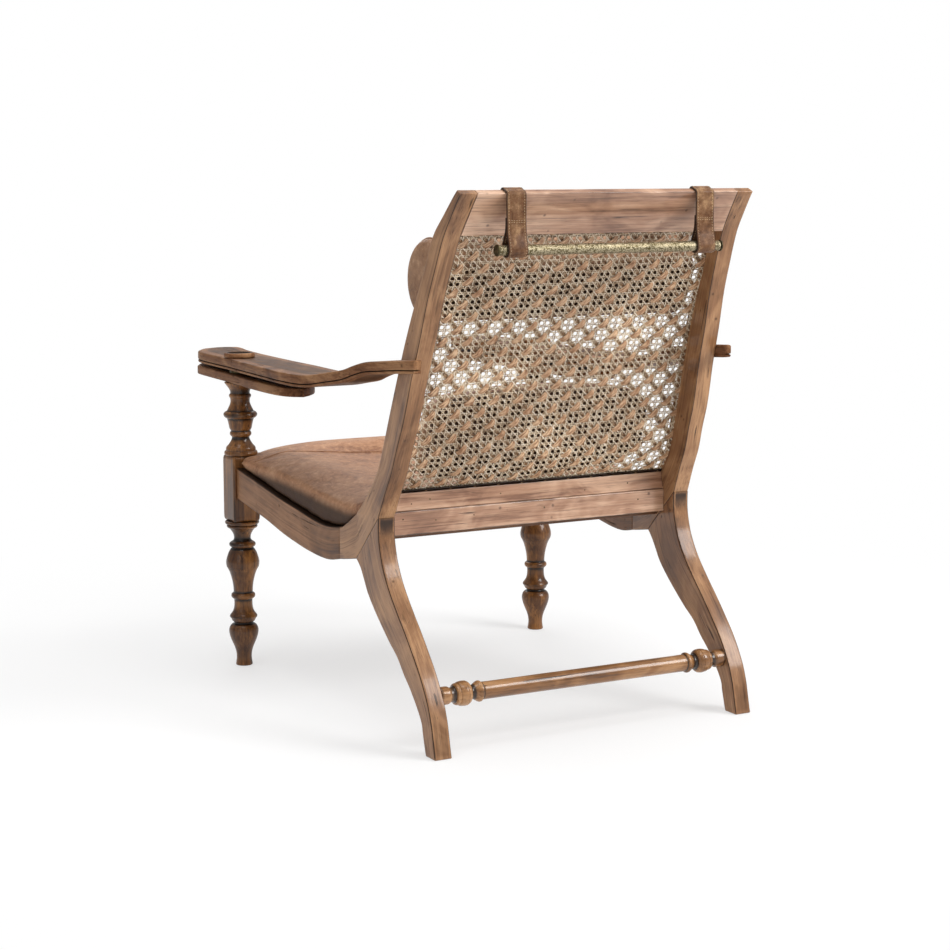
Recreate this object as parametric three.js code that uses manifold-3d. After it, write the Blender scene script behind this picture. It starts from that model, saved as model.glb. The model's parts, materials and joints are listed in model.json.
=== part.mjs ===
// A planters chair: a raked cane back, a dipped leather seat, long flat arms
// and a board under each arm that swings out to the front as a leg rest.
// Millimetres, +Z up, +X the sitter's left, front towards -Y.

import * as THREE from 'three';
import { mergeVertices } from 'three/addons/utils/BufferGeometryUtils.js';
import Module from 'manifold-3d';

// Overall sizes of the frame
const kneeHeight = 384; // floor to the rear of the knee
const legSetback = 800; // rear foot's back edge to the front leg's axis
const backRise = 566; // knee to the top of the back
const backReach = 237; // how far the back leans behind the knee
const frameHalfWidth = 327.7; // centre to the outer face of a rear leg
const frontSpread = 33.3; // how much wider each side is at the front block
const backTaper = 35.7; // how much narrower each side is at the top
const timber = 33.1; // thickness of legs, stiles and side rails across the chair
const gap = 0.3; // between pieces that touch
const overrun = 20; // how far a cutter runs past what it cuts

// Front legs
const blockSide = 56;
const blockCorner = 3;
const blockBelowRail = 48.5;
const blockAboveRail = 22.4;
const blockProud = 6.9; // the block stands outside the side rail by this much
const legRadius = 33;
const tenonRadius = 12;
const turnedSides = 14;

// Cross boards
const seatRailThickness = 22;
const seatRailWidth = 43;
const seatRailAboveKnee = 2; // its top edge above the rear of the knee
const seatRailInset = 32.8; // its rear face in front of the rear of the knee
const backRailWidth = 33;
const backRailInset = 2.5; // its rear face in front of the board below
const backRailLean = 4.5;
const backRailThickness = 17;
const frontRailThickness = 28;
const topRailDrop = 70; // height of the top rail's rear face

// Rear stretcher
const stretcherRadius = 15;
const stretcherHeight = 96.9;
const stretcherOffset = 8; // its axis behind the middle of the leg
const stretcherTenonRadius = 8;
const stretcherTenonLength = 12;
const stretcherTurning = 90; // length of the turned pattern at each end
const stretcherSides = 12;

// Cane
const caneThickness = 3;
const splineWidth = 6;
const splineThickness = 3;
const caneColumns = 12;
const caneRows = 10;
const caneStrand = 9;

// Arms and leg rests
const armWidth = 116;
const armReach = 1036; // rear foot's back edge to the tip of the paddle
const armHeight = 620;
const armRise = 52;
const armThickness = 23;
const restLength = 536;
const restThickness = 17.3;
const restDrop = 7.6; // arm's underside to the leg rest's top, at the pivot
const restSag = 0.53; // degrees
const restClearance = 0.6; // above the leg rest
const postClearance = 1.1; // below the leg rest
const restPlay = 0.4;
const washerRadius = 20;
const capRadius = 30.5;
const capHeight = 9.2;
const capDish = 4.2;
const capRim = 4;

// Seat support
const deckThickness = 8;
const cleatSide = 16;

// Seat cushion
const seatFront = 35; // how far it passes the front legs' axis
const seatSideInset = 8;
const seatBlockClearance = 3;
const seatCrown = 14;
const seatSides = 24;
const softGap = 0.7;
const seatSquareShare = 0.72; // 0 is a round side, nearly 1 a square one
const cushionSquareShare = 0.3;

// Back cushion
const backCushionHalfWidth = 230;
const backCushionThickness = 150;
const backCushionLift = 38; // its underside above the rear of the knee
const backCushionHeight = 183;
const backCushionSides = 20;

// Head pillow
const pillowRadius = 75;
const pillowHalfLength = 262;
const pillowUp = 391; // where it lies on the cane, above the rear of the knee
const pillowFlat = 58.4; // axis to the flattened side that lies on the cane
const pillowPlay = 2.7; // the flat clears the top rail's lower edge as the pillow slides
const pillowSides = 20;

// Straps and counterweight
const strapWidth = 37.5;
const strapThickness = 3;
const strapOffset = 188;
const strapSeamDrop = 46; // seam below the top of the back
const strapClearance = 0.4;
const strapLoopLength = 30; // rod's axis to where the loop closes
const strapAttachAngle = 60; // degrees above level, round the pillow's axis
const rodRadius = 9;
const rodHalfLength = 221;
const rodDrop = 93; // its axis below the top of the back
const rodInset = 1.5; // its axis in front of the top of the back
const rodCapThickness = 3;
const rodCapRadius = 10;

// Side outlines: forward in shares of legSetback, height in shares of kneeHeight
const legRearShares = [[0, 0], [0.013, 0.117], [0.018, 0.156], [0.033, 0.234], [0.066, 0.344], [0.106, 0.443],
  [0.144, 0.529], [0.171, 0.586], [0.217, 0.693], [0.244, 0.781], [0.255, 0.839], [0.263, 0.911], [0.264, 1]];
const legFrontShares = [[0.044, 0], [0.058, 0.099], [0.062, 0.135], [0.077, 0.182], [0.115, 0.268], [0.145, 0.323],
  [0.177, 0.391], [0.215, 0.445], [0.281, 0.555], [0.32, 0.633], [0.34, 0.693], [0.356, 0.74], [0.374, 0.776]];
const kneeTopShares = [[0.448, 0.904], [0.435, 0.911], [0.374, 0.987]];
const kneeBottomShares = [[0.448, 0.75], [0.431, 0.755], [0.374, 0.776]];
const railTopShares = [[0.448, 0.904], [0.5, 0.892], [0.547, 0.896], [0.606, 0.913], [0.642, 0.927],
  [0.723, 0.953], [0.816, 0.991], [0.894, 1.023], [0.965, 1.051]];
const railBottomShares = [[0.448, 0.75], [0.5, 0.73], [0.547, 0.73], [0.606, 0.742], [0.642, 0.753],
  [0.723, 0.784], [0.816, 0.831], [0.894, 0.863], [0.965, 0.892]];
const splayStartShare = 0.356;

// Stile outlines, from the knee: back in shares of backReach, up in shares of backRise
const stileFrontShares = [[-0.35, 0], [-0.16, 0.081], [-0.046, 0.152], [0.017, 0.223], [0.084, 0.311], [0.19, 0.443],
  [0.291, 0.56], [0.418, 0.684], [0.515, 0.767], [0.624, 0.873], [0.764, 0.936], [0.941, 1.011]];
const stileRearShares = [[0, 0], [0.089, 0.081], [0.177, 0.152], [0.238, 0.223], [0.323, 0.311], [0.414, 0.443],
  [0.508, 0.56], [0.597, 0.684], [0.675, 0.767], [0.785, 0.873], [0.886, 0.936], [1, 1]];

// Turned outlines: height in shares of the length turned, radius in shares of legRadius
const lowerTurningShares = [[0, 0.51], [0.056, 0.45], [0.126, 0.57], [0.168, 0.73], [0.211, 0.85], [0.238, 0.89],
  [0.265, 0.83], [0.292, 0.58], [0.309, 0.68], [0.335, 0.82], [0.35, 0.79], [0.378, 0.62], [0.44, 0.55],
  [0.483, 0.71], [0.517, 0.58], [0.585, 0.65], [0.629, 0.75], [0.656, 0.83], [0.684, 0.97], [0.711, 1],
  [0.752, 0.92], [0.781, 0.82], [0.81, 0.68], [0.837, 0.8], [0.864, 0.58], [0.891, 0.5], [0.918, 0.58],
  [0.946, 0.77], [0.973, 0.83], [1, 0.83]];
const upperTurningShares = [[0, 0.83], [0.048, 0.97], [0.117, 0.84], [0.172, 0.65], [0.228, 0.52], [0.255, 0.52],
  [0.297, 0.63], [0.338, 0.6], [0.393, 0.69], [0.448, 0.73], [0.503, 0.81], [0.559, 0.98], [0.614, 0.78],
  [0.669, 0.66], [0.724, 0.57], [0.779, 0.57], [0.821, 0.65], [0.834, 0.6], [0.917, 0.99], [1, 0.95]];
const stretcherTurningShares = [[0, 1], [0.19, 1], [0.2, 1.13], [0.27, 1.4], [0.37, 1.46], [0.47, 1.4],
  [0.53, 1.13], [0.55, 0.75], [0.6, 0.75], [0.62, 1.07], [0.66, 1.25], [0.77, 1.25], [0.82, 1.07],
  [0.85, 0.85], [1, 1]];

// Arm: forward in shares of armReach, inner and outer edge as an offset in shares of armWidth
// from the line that runs from the post's axis back to the stile, then how much of armRise
// the top has risen
const armShares = [
  [1, -0.551, -0.395, 0], [0.995, -0.671, -0.275, 0], [0.985, -0.767, -0.102, 0], [0.967, -0.774, 0.028, 0],
  [0.944, -0.741, 0.148, 0], [0.913, -0.687, 0.208, 0], [0.839, -0.627, 0.238, 0], [0.771, -0.597, 0.251, 0],
  [0.661, -0.523, 0.353, 0], [0.557, -0.48, 0.445, 0], [0.489, -0.428, 0.504, 0], [0.425, -0.394, 0.501, 0],
  [0.386, -0.376, 0.459, 0.04], [0.326, -0.353, 0.392, 0.23], [0.281, -0.337, 0.342, 0.385],
  [0.253, -0.329, 0.306, 0.56], [0.22, -0.32, 0.265, 0.73], [0.185, -0.311, 0.225, 0.81],
  [0.13, -0.293, 0.179, 0.92], [0.075, -0.279, 0.133, 1]];

// Leg rest, seen from above: forward of its rear end in shares of restLength, across from the
// post's axis in shares of armWidth; the outer edge from rear to front, then the inner edge back
const restOuterShares = [[0.022, 0.118], [0.05, 0.208], [0.12, 0.281], [0.3, 0.291], [0.45, 0.251], [0.786, 0.224],
  [0.87, 0.198], [0.892, 0.148], [0.937, 0.028], [0.97, -0.102], [0.991, -0.275], [1, -0.395]];
const restInnerShares = [[1, -0.551], [0.991, -0.671], [0.97, -0.767], [0.937, -0.774], [0.832, -0.687],
  [0.688, -0.627], [0.483, -0.588], [0.306, -0.561], [0.17, -0.518], [0.09, -0.411], [0.03, -0.202], [0, -0.035]];

// Seat cushion: height of its side's top edge in shares of kneeHeight, and of its crown,
// at each place along it; the first places are in front of the side rails
const seatFrontShares = [[1, 0.5], [0.75, 0.85], [0.2, 1]];
const seatTopShares = [[0.965, 1.118], [0.894, 1.116], [0.816, 1.112], [0.723, 1.1], [0.642, 1.085], [0.606, 1.075],
  [0.547, 1.062], [0.5, 1.052], [0.448, 1.045], [0.435, 1.043], [0.374, 1.048], [0.356, 1.06]];
const seatEndShares = [[0.35, 0.7], [0.75, 0.3]];

// How a soft roll narrows towards its ends: along in shares of the half length, across in shares of the half width
const rollShares = [[0, 1], [0.5, 1], [0.9, 1], [0.965, 0.98], [0.988, 0.92], [1, 0.8]];
const puffShares = [[0, 1], [0.3, 0.985], [0.55, 0.93], [0.75, 0.83], [0.89, 0.67], [0.97, 0.48], [1, 0.3]];

const wasm = await Module();
wasm.setup();

// Colours

function material(color, roughness, metalness = 0) {
  return new THREE.MeshStandardMaterial({ color, roughness, metalness });
}
const wood = () => material(0x7a5230, 0.55);
const darkWood = () => material(0x5a3a22, 0.6);
const cane = () => material(0xc9a878, 0.6);
const leather = () => material(0x9a5f33, 0.5);
const brass = () => material(0xc9b47c, 0.35, 0.9);
const bronze = () => material(0x4d4a30, 0.4, 0.7);

// Solids

// A closed mesh with shared vertices, no empty triangles, and its faces outwards.
function tidy(source) {
  let geometry = source.clone();
  for (const name of Object.keys(geometry.attributes)) {
    if (name !== 'position') geometry.deleteAttribute(name);
  }
  geometry = mergeVertices(geometry);
  const position = geometry.attributes.position;
  const corners = geometry.index.array;
  const [a, b, c] = [new THREE.Vector3(), new THREE.Vector3(), new THREE.Vector3()];
  const kept = [];
  let volume = 0;
  for (let i = 0; i < corners.length; i += 3) {
    const [p, q, r] = [corners[i], corners[i + 1], corners[i + 2]];
    if (p === q || q === r || r === p) continue;
    a.fromBufferAttribute(position, p);
    b.fromBufferAttribute(position, q);
    c.fromBufferAttribute(position, r);
    volume += a.dot(b.cross(c));
    kept.push(p, q, r);
  }
  if (volume < 0) kept.reverse();
  geometry.setIndex(kept);
  return geometry;
}

function toSolid(geometry) {
  const clean = tidy(geometry);
  const vertProperties = new Float32Array(clean.attributes.position.array);
  const triVerts = new Uint32Array(clean.index.array);
  return new wasm.Manifold(new wasm.Mesh({ numProp: 3, vertProperties, triVerts }));
}

function fromSolid(solid) {
  const mesh = solid.getMesh();
  const geometry = new THREE.BufferGeometry();
  geometry.setAttribute('position', new THREE.BufferAttribute(new Float32Array(mesh.vertProperties), 3));
  geometry.setIndex(new THREE.BufferAttribute(new Uint32Array(mesh.triVerts), 1));
  return geometry;
}

// Triangles that close a ring, in the order of its points, whichever way the ring faces.
function coverRing(ring) {
  const normal = new THREE.Vector3();
  ring.forEach((point, i) => normal.add(point.clone().cross(ring[(i + 1) % ring.length])));
  const turn = new THREE.Quaternion().setFromUnitVectors(normal.normalize(), new THREE.Vector3(0, 0, 1));
  const flat = ring.map((point) => point.clone().applyQuaternion(turn)).map(({ x, y }) => new THREE.Vector2(x, y));
  return THREE.ShapeUtils.triangulateShape(flat, []);
}

// A bar through a row of rings, each with as many points as the next, closed at both ends.
function loft(rings) {
  const sides = rings[0].length;
  const points = rings.flat();
  const triangles = [];
  for (let i = 0; i + 1 < rings.length; i++) {
    for (let j = 0; j < sides; j++) {
      const [a, b] = [i * sides + j, i * sides + (j + 1) % sides];
      triangles.push(a, b, b + sides, a, b + sides, a + sides);
    }
  }
  const last = (rings.length - 1) * sides;
  for (const [a, b, c] of coverRing(rings[0])) triangles.push(a, c, b);
  for (const [a, b, c] of coverRing(rings.at(-1))) triangles.push(last + a, last + b, last + c);
  const geometry = new THREE.BufferGeometry().setFromPoints(points);
  geometry.setIndex(triangles);
  return tidy(geometry);
}

function mirrored(geometry) {
  return tidy(geometry.clone().scale(-1, 1, 1));
}

// A turned piece standing on the XY plane's point (x, y): pairs of height and radius.
function turned(pairs, x, y, sides) {
  const outline = pairs.map(([z, r]) => new THREE.Vector2(r, z));
  return new THREE.LatheGeometry(outline, sides).rotateX(Math.PI / 2).translate(x, y, 0);
}

function upright(x, y, bottom, top, radius) {
  const length = top - bottom;
  return new THREE.CylinderGeometry(radius, radius, length, turnedSides)
    .rotateX(Math.PI / 2).translate(x, y, bottom + length / 2);
}

// Places on the frame

const low = ([forward, up]) => [-forward * legSetback, up * kneeHeight];
const kneeY = low(legRearShares.at(-1))[0];
const high = ([back, up]) => [kneeY + back * backReach, kneeHeight + up * backRise];
const splayStart = splayStartShare * legSetback;
const railEnd = legSetback - blockSide / 2;

// Distance of the frame's outer face from the centre, at a place on its side view:
// the side rails splay out to the front, and the stiles lean in above the knee.
function outerFace(y, z) {
  const splay = frontSpread * Math.max(0, -y - splayStart) / (railEnd - splayStart);
  const inStile = y > low(kneeTopShares.at(-1))[0];
  const taper = inStile ? backTaper * Math.max(0, z - kneeHeight) / backRise : 0;
  return frameHalfWidth + splay - taper;
}
const innerFace = (y, z) => outerFace(y, z) - timber;

// Reads a bent line at one coordinate; axis 0 is y, 1 is z.
function readLine(line, at, axis) {
  const other = 1 - axis;
  const rising = line.at(-1)[axis] > line[0][axis];
  const points = rising ? line : [...line].reverse();
  let i = 0;
  while (i < points.length - 2 && points[i + 1][axis] < at) i++;
  const [p, q] = [points[i], points[i + 1]];
  const t = (at - p[axis]) / (q[axis] - p[axis]);
  return p[other] + t * (q[other] - p[other]);
}

// A side member between two bent lines of the side view, as thick as the frame's timber.
function sideMember(edge, opposite) {
  return loft(edge.map(([y, z], i) => {
    const [oy, oz] = opposite[i];
    return [
      new THREE.Vector3(outerFace(y, z), y, z),
      new THREE.Vector3(outerFace(oy, oz), oy, oz),
      new THREE.Vector3(innerFace(oy, oz), oy, oz),
      new THREE.Vector3(innerFace(y, z), y, z),
    ];
  }));
}

// A board between the two sides, from its outline in the side view.
function crossBoard(outline) {
  const ring = (side) => outline.map(([y, z]) => new THREE.Vector3(side * (innerFace(y, z) - gap), y, z));
  return loft([ring(1), ring(-1)]);
}

// Front leg: turned foot, block, turned post and the tenon that the leg rest swings on

const frontLegX = frameHalfWidth + frontSpread + blockProud - blockSide / 2;
const frontLegY = -legSetback;
const frontRailTop = low(railTopShares.at(-1))[1];
const frontRailBottom = low(railBottomShares.at(-1))[1];
const blockTop = frontRailTop + blockAboveRail;
const blockBottom = frontRailBottom - blockBelowRail;
const restTop = armHeight - armThickness - restDrop;
const postTop = restTop - restThickness - postClearance;

function blockGeometry() {
  const half = blockSide / 2;
  const corner = half - blockCorner;
  const outline = new THREE.Shape();
  outline.moveTo(half, -corner);
  outline.lineTo(half, corner);
  outline.lineTo(corner, half);
  outline.lineTo(-corner, half);
  outline.lineTo(-half, corner);
  outline.lineTo(-half, -corner);
  outline.lineTo(-corner, -half);
  outline.lineTo(corner, -half);
  const bevel = { bevelEnabled: true, bevelThickness: blockCorner, bevelSize: blockCorner, bevelOffset: -blockCorner };
  return new THREE.ExtrudeGeometry(outline, {
    depth: blockTop - blockBottom - 2 * blockCorner, ...bevel, bevelSegments: 1,
  }).translate(frontLegX, frontLegY, blockBottom + blockCorner);
}

function frontLegGeometry() {
  const sunk = blockBottom + blockSide / 2;
  const foot = lowerTurningShares.map(([up, out]) => [up * blockBottom, out * legRadius]);
  foot.push([sunk, foot.at(-1)[1]]);
  const postLength = postTop - blockTop;
  const post = upperTurningShares.map(([up, out]) => [blockTop + up * postLength, out * legRadius]);
  post.unshift([blockTop - blockSide / 2, post[0][1]]);
  const onAxis = (pairs) => [[pairs[0][0], 0], ...pairs, [pairs.at(-1)[0], 0]];
  const tenonTop = armHeight - gap;
  return fromSolid(toSolid(blockGeometry())
    .add(toSolid(turned(onAxis(foot), frontLegX, frontLegY, turnedSides)))
    .add(toSolid(turned(onAxis(post), frontLegX, frontLegY, turnedSides)))
    .add(toSolid(upright(frontLegX, frontLegY, postTop - overrun, tenonTop, tenonRadius))));
}

// Rear leg: curved, bored for the stretcher, ending in the slanted joint at the knee

const legMiddle = (z) => (readLine(legRearShares.map(low), z, 1) + readLine(legFrontShares.map(low), z, 1)) / 2;
const stretcherY = legMiddle(stretcherHeight) + stretcherOffset;

function rearLegGeometry() {
  const rear = legRearShares.map(low);
  const front = legFrontShares.map(low);
  const [top, bottom] = [rear.at(-1), front.at(-1)];
  const slant = new THREE.Vector2(top[0] - bottom[0], top[1] - bottom[1]).normalize();
  const away = ([y, z]) => [y + gap * slant.y, z - gap * slant.x];
  rear[rear.length - 1] = away(top);
  front[front.length - 1] = away(bottom);
  const inside = innerFace(stretcherY, stretcherHeight);
  const depth = stretcherTenonLength + gap;
  const bore = new THREE.CylinderGeometry(
    stretcherTenonRadius + gap, stretcherTenonRadius + gap, depth + overrun, stretcherSides,
  ).rotateZ(Math.PI / 2).translate(inside + depth - (depth + overrun) / 2, stretcherY, stretcherHeight);
  return fromSolid(toSolid(sideMember(rear, front)).subtract(toSolid(bore)));
}

// Knee and stile in one, from the side rail up to the top of the back

const kneeTop = kneeTopShares.map(low);
const kneeBottom = kneeBottomShares.map(low);
const stileFront = stileFrontShares.map(high);
const stileRear = stileRearShares.map(high);
const stileGeometry = () => sideMember([...kneeTop, ...stileFront], [...kneeBottom, ...stileRear]);

// Side rail, from the knee to the front block

const railTop = railTopShares.map(low);
const railBottom = railBottomShares.map(low);

function sideRailGeometry() {
  const fitted = (line) => line.map(([y, z], i) => {
    if (i === 0) return [y - gap, z];
    return i === line.length - 1 ? [gap - railEnd, z] : [y, z];
  });
  return sideMember(fitted(railTop), fitted(railBottom));
}

// Boards across the frame

const boardJoint = kneeHeight + seatRailAboveKnee;
const seatRailRear = kneeY - seatRailInset;
const seatRailFront = seatRailRear - seatRailThickness;
const seatRailBottom = boardJoint - seatRailWidth;
const rearSeatRailGeometry = () => crossBoard([
  [seatRailRear, seatRailBottom], [seatRailRear, boardJoint],
  [seatRailFront, boardJoint], [seatRailFront, seatRailBottom],
]);

const backRailTop = boardJoint + backRailWidth;
const backRailRear = seatRailRear - backRailInset;
const backRailTopRear = backRailRear - backRailLean;
const backRailFront = backRailTopRear - backRailThickness;
const lowerBackRailGeometry = () => crossBoard([
  [backRailRear, boardJoint + gap], [backRailTopRear, backRailTop],
  [backRailFront, backRailTop], [backRailFront, boardJoint + gap],
]);

const stileTopRear = stileRear.at(-1);
const stileTopFront = stileFront.at(-1);
const topRailBottom = stileTopRear[1] - topRailDrop;

function topRailGeometry() {
  const rearY = readLine(stileRear, topRailBottom, 1);
  const frontY = readLine(stileFront, topRailBottom, 1);
  const above = (line) => line.filter(([, z]) => z > topRailBottom + gap);
  return crossBoard([
    [rearY, topRailBottom], ...above(stileRear),
    ...above(stileFront).reverse(), [frontY, topRailBottom],
  ]);
}

const frontRailHalf = frontLegX - blockSide / 2 - gap;

function frontSeatRailGeometry() {
  return new THREE.BoxGeometry(2 * frontRailHalf, frontRailThickness, frontRailTop - frontRailBottom)
    .translate(0, frontLegY, (frontRailTop + frontRailBottom) / 2);
}

// Rear stretcher, turned along X, with a tenon in each leg

function stretcherGeometry() {
  const half = innerFace(stretcherY, stretcherHeight) - gap;
  const pattern = stretcherTurningShares.map(([along, out]) => [half - along * stretcherTurning, out * stretcherRadius]);
  const tip = half + stretcherTenonLength;
  const oneEnd = [[tip, 0], [tip, stretcherTenonRadius], [half, stretcherTenonRadius], ...pattern];
  const otherEnd = [...oneEnd].reverse().map(([along, out]) => [-along, out]);
  const outline = [...oneEnd, ...otherEnd].map(([along, out]) => new THREE.Vector2(out, along));
  return new THREE.LatheGeometry(outline, stretcherSides)
    .rotateZ(Math.PI / 2).translate(0, stretcherY, stretcherHeight);
}

// Cane: one net of strands, bent along the stiles' front edges, and the strips that hold it

const caneBottom = backRailTop + gap;
const caneTop = topRailBottom - gap;
const stileFrontY = (z) => readLine(stileFront, z, 1);

// Line places across one direction of the net: each strand has two edges.
function strandEdges(count, length) {
  const edges = [];
  for (let i = 0; i <= count; i++) {
    const centre = caneStrand / 2 + (length - caneStrand) * i / count;
    edges.push((centre - caneStrand / 2) / length, (centre + caneStrand / 2) / length);
  }
  return edges;
}

const caneLine = strandEdges(caneRows, caneTop - caneBottom)
  .map((share) => caneBottom + share * (caneTop - caneBottom))
  .map((z) => [stileFrontY(z) + splineThickness + gap, z]);

function caneGeometry() {
  const across = strandEdges(caneColumns, 2 * frameHalfWidth);
  const points = [];
  for (const behind of [0, caneThickness]) {
    for (const [y, z] of caneLine) {
      const half = innerFace(y, z) - gap;
      for (const share of across) points.push(new THREE.Vector3((2 * share - 1) * half, y + behind, z));
    }
  }
  const [columns, rows] = [across.length, caneLine.length];
  const at = (layer, row, column) => (layer * rows + row) * columns + column;
  const solidCell = (row, column) => row >= 0 && column >= 0 && row < rows - 1 && column < columns - 1
    && !(row % 2 === 1 && column % 2 === 1);
  const triangles = [];
  const quad = (a, b, c, d) => triangles.push(a, b, c, a, c, d);
  for (let r = 0; r < rows - 1; r++) {
    for (let c = 0; c < columns - 1; c++) {
      if (!solidCell(r, c)) continue;
      quad(at(0, r, c), at(0, r, c + 1), at(0, r + 1, c + 1), at(0, r + 1, c));
      quad(at(1, r, c), at(1, r + 1, c), at(1, r + 1, c + 1), at(1, r, c + 1));
      if (!solidCell(r - 1, c)) quad(at(0, r, c), at(1, r, c), at(1, r, c + 1), at(0, r, c + 1));
      if (!solidCell(r + 1, c)) quad(at(0, r + 1, c), at(0, r + 1, c + 1), at(1, r + 1, c + 1), at(1, r + 1, c));
      if (!solidCell(r, c - 1)) quad(at(0, r, c), at(0, r + 1, c), at(1, r + 1, c), at(1, r, c));
      if (!solidCell(r, c + 1)) quad(at(0, r, c + 1), at(1, r, c + 1), at(1, r + 1, c + 1), at(0, r + 1, c + 1));
    }
  }
  const geometry = new THREE.BufferGeometry().setFromPoints(points);
  geometry.setIndex(triangles);
  return tidy(geometry);
}

function sideSplineGeometry() {
  return loft(caneLine.map(([caneY, z]) => {
    const rear = caneY - gap;
    const outside = innerFace(rear, z) - gap;
    return [
      new THREE.Vector3(outside, rear - splineThickness, z), new THREE.Vector3(outside, rear, z),
      new THREE.Vector3(outside - splineWidth, rear, z),
      new THREE.Vector3(outside - splineWidth, rear - splineThickness, z),
    ];
  }));
}

const caneFrontY = (z) => readLine(caneLine, z, 1);

function endSplineGeometry(bottom) {
  const corner = (side, z, forward) => {
    const rear = caneFrontY(z) - gap;
    return new THREE.Vector3(side * (innerFace(rear, z) - 3 * gap - splineWidth), rear - forward, z);
  };
  const ring = (side) => [
    corner(side, bottom, splineThickness), corner(side, bottom, 0),
    corner(side, bottom + splineWidth, 0), corner(side, bottom + splineWidth, splineThickness),
  ];
  return loft([ring(1), ring(-1)]);
}

// Seat deck and its cleats, between the side rails

const deckRear = seatRailFront - gap;
const deckFront = frontLegY + frontRailThickness / 2 + gap;
const deckPlaces = [deckRear, -splayStart, ...railTop.map(([y]) => y).filter((y) => y > deckFront), deckFront];
const deckTop = (y) => readLine(railTop, Math.max(-railEnd, Math.min(y, railTop[1][0])), 0) - gap;

function deckGeometry() {
  return loft(deckPlaces.map((y) => {
    const z = deckTop(y);
    const inFrontOfRails = y < gap - railEnd;
    const half = (inFrontOfRails ? frontLegX - blockSide / 2 : innerFace(y, kneeHeight)) - gap;
    return [
      new THREE.Vector3(half, y, z), new THREE.Vector3(-half, y, z),
      new THREE.Vector3(-half, y, z - deckThickness), new THREE.Vector3(half, y, z - deckThickness),
    ];
  }));
}

function cleatGeometry() {
  const places = railTop.map(([y]) => y).slice(1, -1);
  return loft(places.map((y) => {
    const z = deckTop(y) - deckThickness - gap;
    const outside = innerFace(y, kneeHeight) - gap;
    return [
      new THREE.Vector3(outside, y, z), new THREE.Vector3(outside - cleatSide, y, z),
      new THREE.Vector3(outside - cleatSide, y, z - cleatSide), new THREE.Vector3(outside, y, z - cleatSide),
    ];
  }));
}

// Arm: paddle, flat run and S-shaped rise, notched round the stile and bored for the tenon

const armRearY = -armShares.at(-1)[0] * armReach;

// The line that the arm's width is measured from: straight ahead of the post, and from it back to the stile.
function armLine(y) {
  const back = THREE.MathUtils.clamp((y - frontLegY) / (armRearY - frontLegY), 0, 1);
  const stileX = outerFace(armRearY, armHeight + armRise);
  return THREE.MathUtils.lerp(frontLegX, stileX, back);
}

function armGeometry() {
  const body = loft(armShares.map(([forward, inner, outer, rise]) => {
    const y = -forward * armReach;
    const top = armHeight + rise * armRise;
    const [inside, outside] = [inner, outer].map((share) => armLine(y) + share * armWidth);
    return [
      new THREE.Vector3(inside, y, top), new THREE.Vector3(outside, y, top),
      new THREE.Vector3(outside, y, top - armThickness), new THREE.Vector3(inside, y, top - armThickness),
    ];
  }));
  const notch = loft(stileFront.map(([y, z]) => {
    const outside = outerFace(y, z) + gap;
    const inside = innerFace(y, z) - overrun;
    const rear = y + armReach;
    return [
      new THREE.Vector3(outside, y - gap, z), new THREE.Vector3(outside, rear, z),
      new THREE.Vector3(inside, rear, z), new THREE.Vector3(inside, y - gap, z),
    ];
  }));
  const bore = upright(frontLegX, frontLegY, armHeight - armThickness - overrun, armHeight + overrun, tenonRadius + gap);
  return fromSolid(toSolid(body).subtract(toSolid(notch)).subtract(toSolid(bore)));
}

// Leg rest: a flat board under the arm with the paddle's outline, swinging on the tenon

function restGeometry() {
  const outline = new THREE.Shape([...restOuterShares, ...restInnerShares].map(([along, across]) => new THREE.Vector2(
    frontLegX + across * armWidth, restLength * (1 - along) - armReach,
  )));
  const board = new THREE.ExtrudeGeometry(outline, { depth: restThickness, bevelEnabled: false })
    .translate(0, legSetback, -restThickness)
    .rotateX(THREE.MathUtils.degToRad(-restSag))
    .translate(0, frontLegY, restTop);
  const bore = upright(
    frontLegX, frontLegY, restTop - restThickness - overrun, restTop + overrun, tenonRadius + restPlay,
  );
  return fromSolid(toSolid(board).subtract(toSolid(bore)));
}

function washerGeometry() {
  const [bottom, top] = [restTop + restClearance, armHeight - armThickness - gap];
  const bore = tenonRadius + gap;
  return turned(
    [[bottom, bore], [bottom, washerRadius], [top, washerRadius], [top, bore], [bottom, bore]],
    frontLegX, frontLegY, turnedSides,
  );
}

function capGeometry() {
  const base = armHeight + gap;
  const top = base + capHeight;
  return turned([
    [base, 0], [base, capRadius - capRim / 2], [base + capRim / 2, capRadius], [top - capRim / 2, capRadius],
    [top, capRadius - capRim / 2], [top, capRadius - capRim], [top - capDish, capRadius - 2 * capRim],
    [top - capDish, 0],
  ], frontLegX, frontLegY, 2 * turnedSides);
}

// Soft solids

// A point of a rounded box's ring: squareness 0 is a round ring, nearly 1 a square one.
function roundedPoint(angle, squareness) {
  const power = 1 - squareness;
  const shape = (value) => Math.sign(value) * Math.abs(value) ** power;
  return [shape(Math.cos(angle)), shape(Math.sin(angle))];
}

// Seat cushion: between the front blocks, then out over the side rails as far as the stiles
const seatTop = seatTopShares.map(low);
const seatSupport = [stileFront[1], stileFront[0], ...[...kneeTop].reverse(), ...railTop.slice(1)];
const seatUnderside = (y) => readLine(seatSupport, y, 0) + softGap;
const seatHalf = (y) => outerFace(y, kneeHeight) - seatSideInset;

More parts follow.
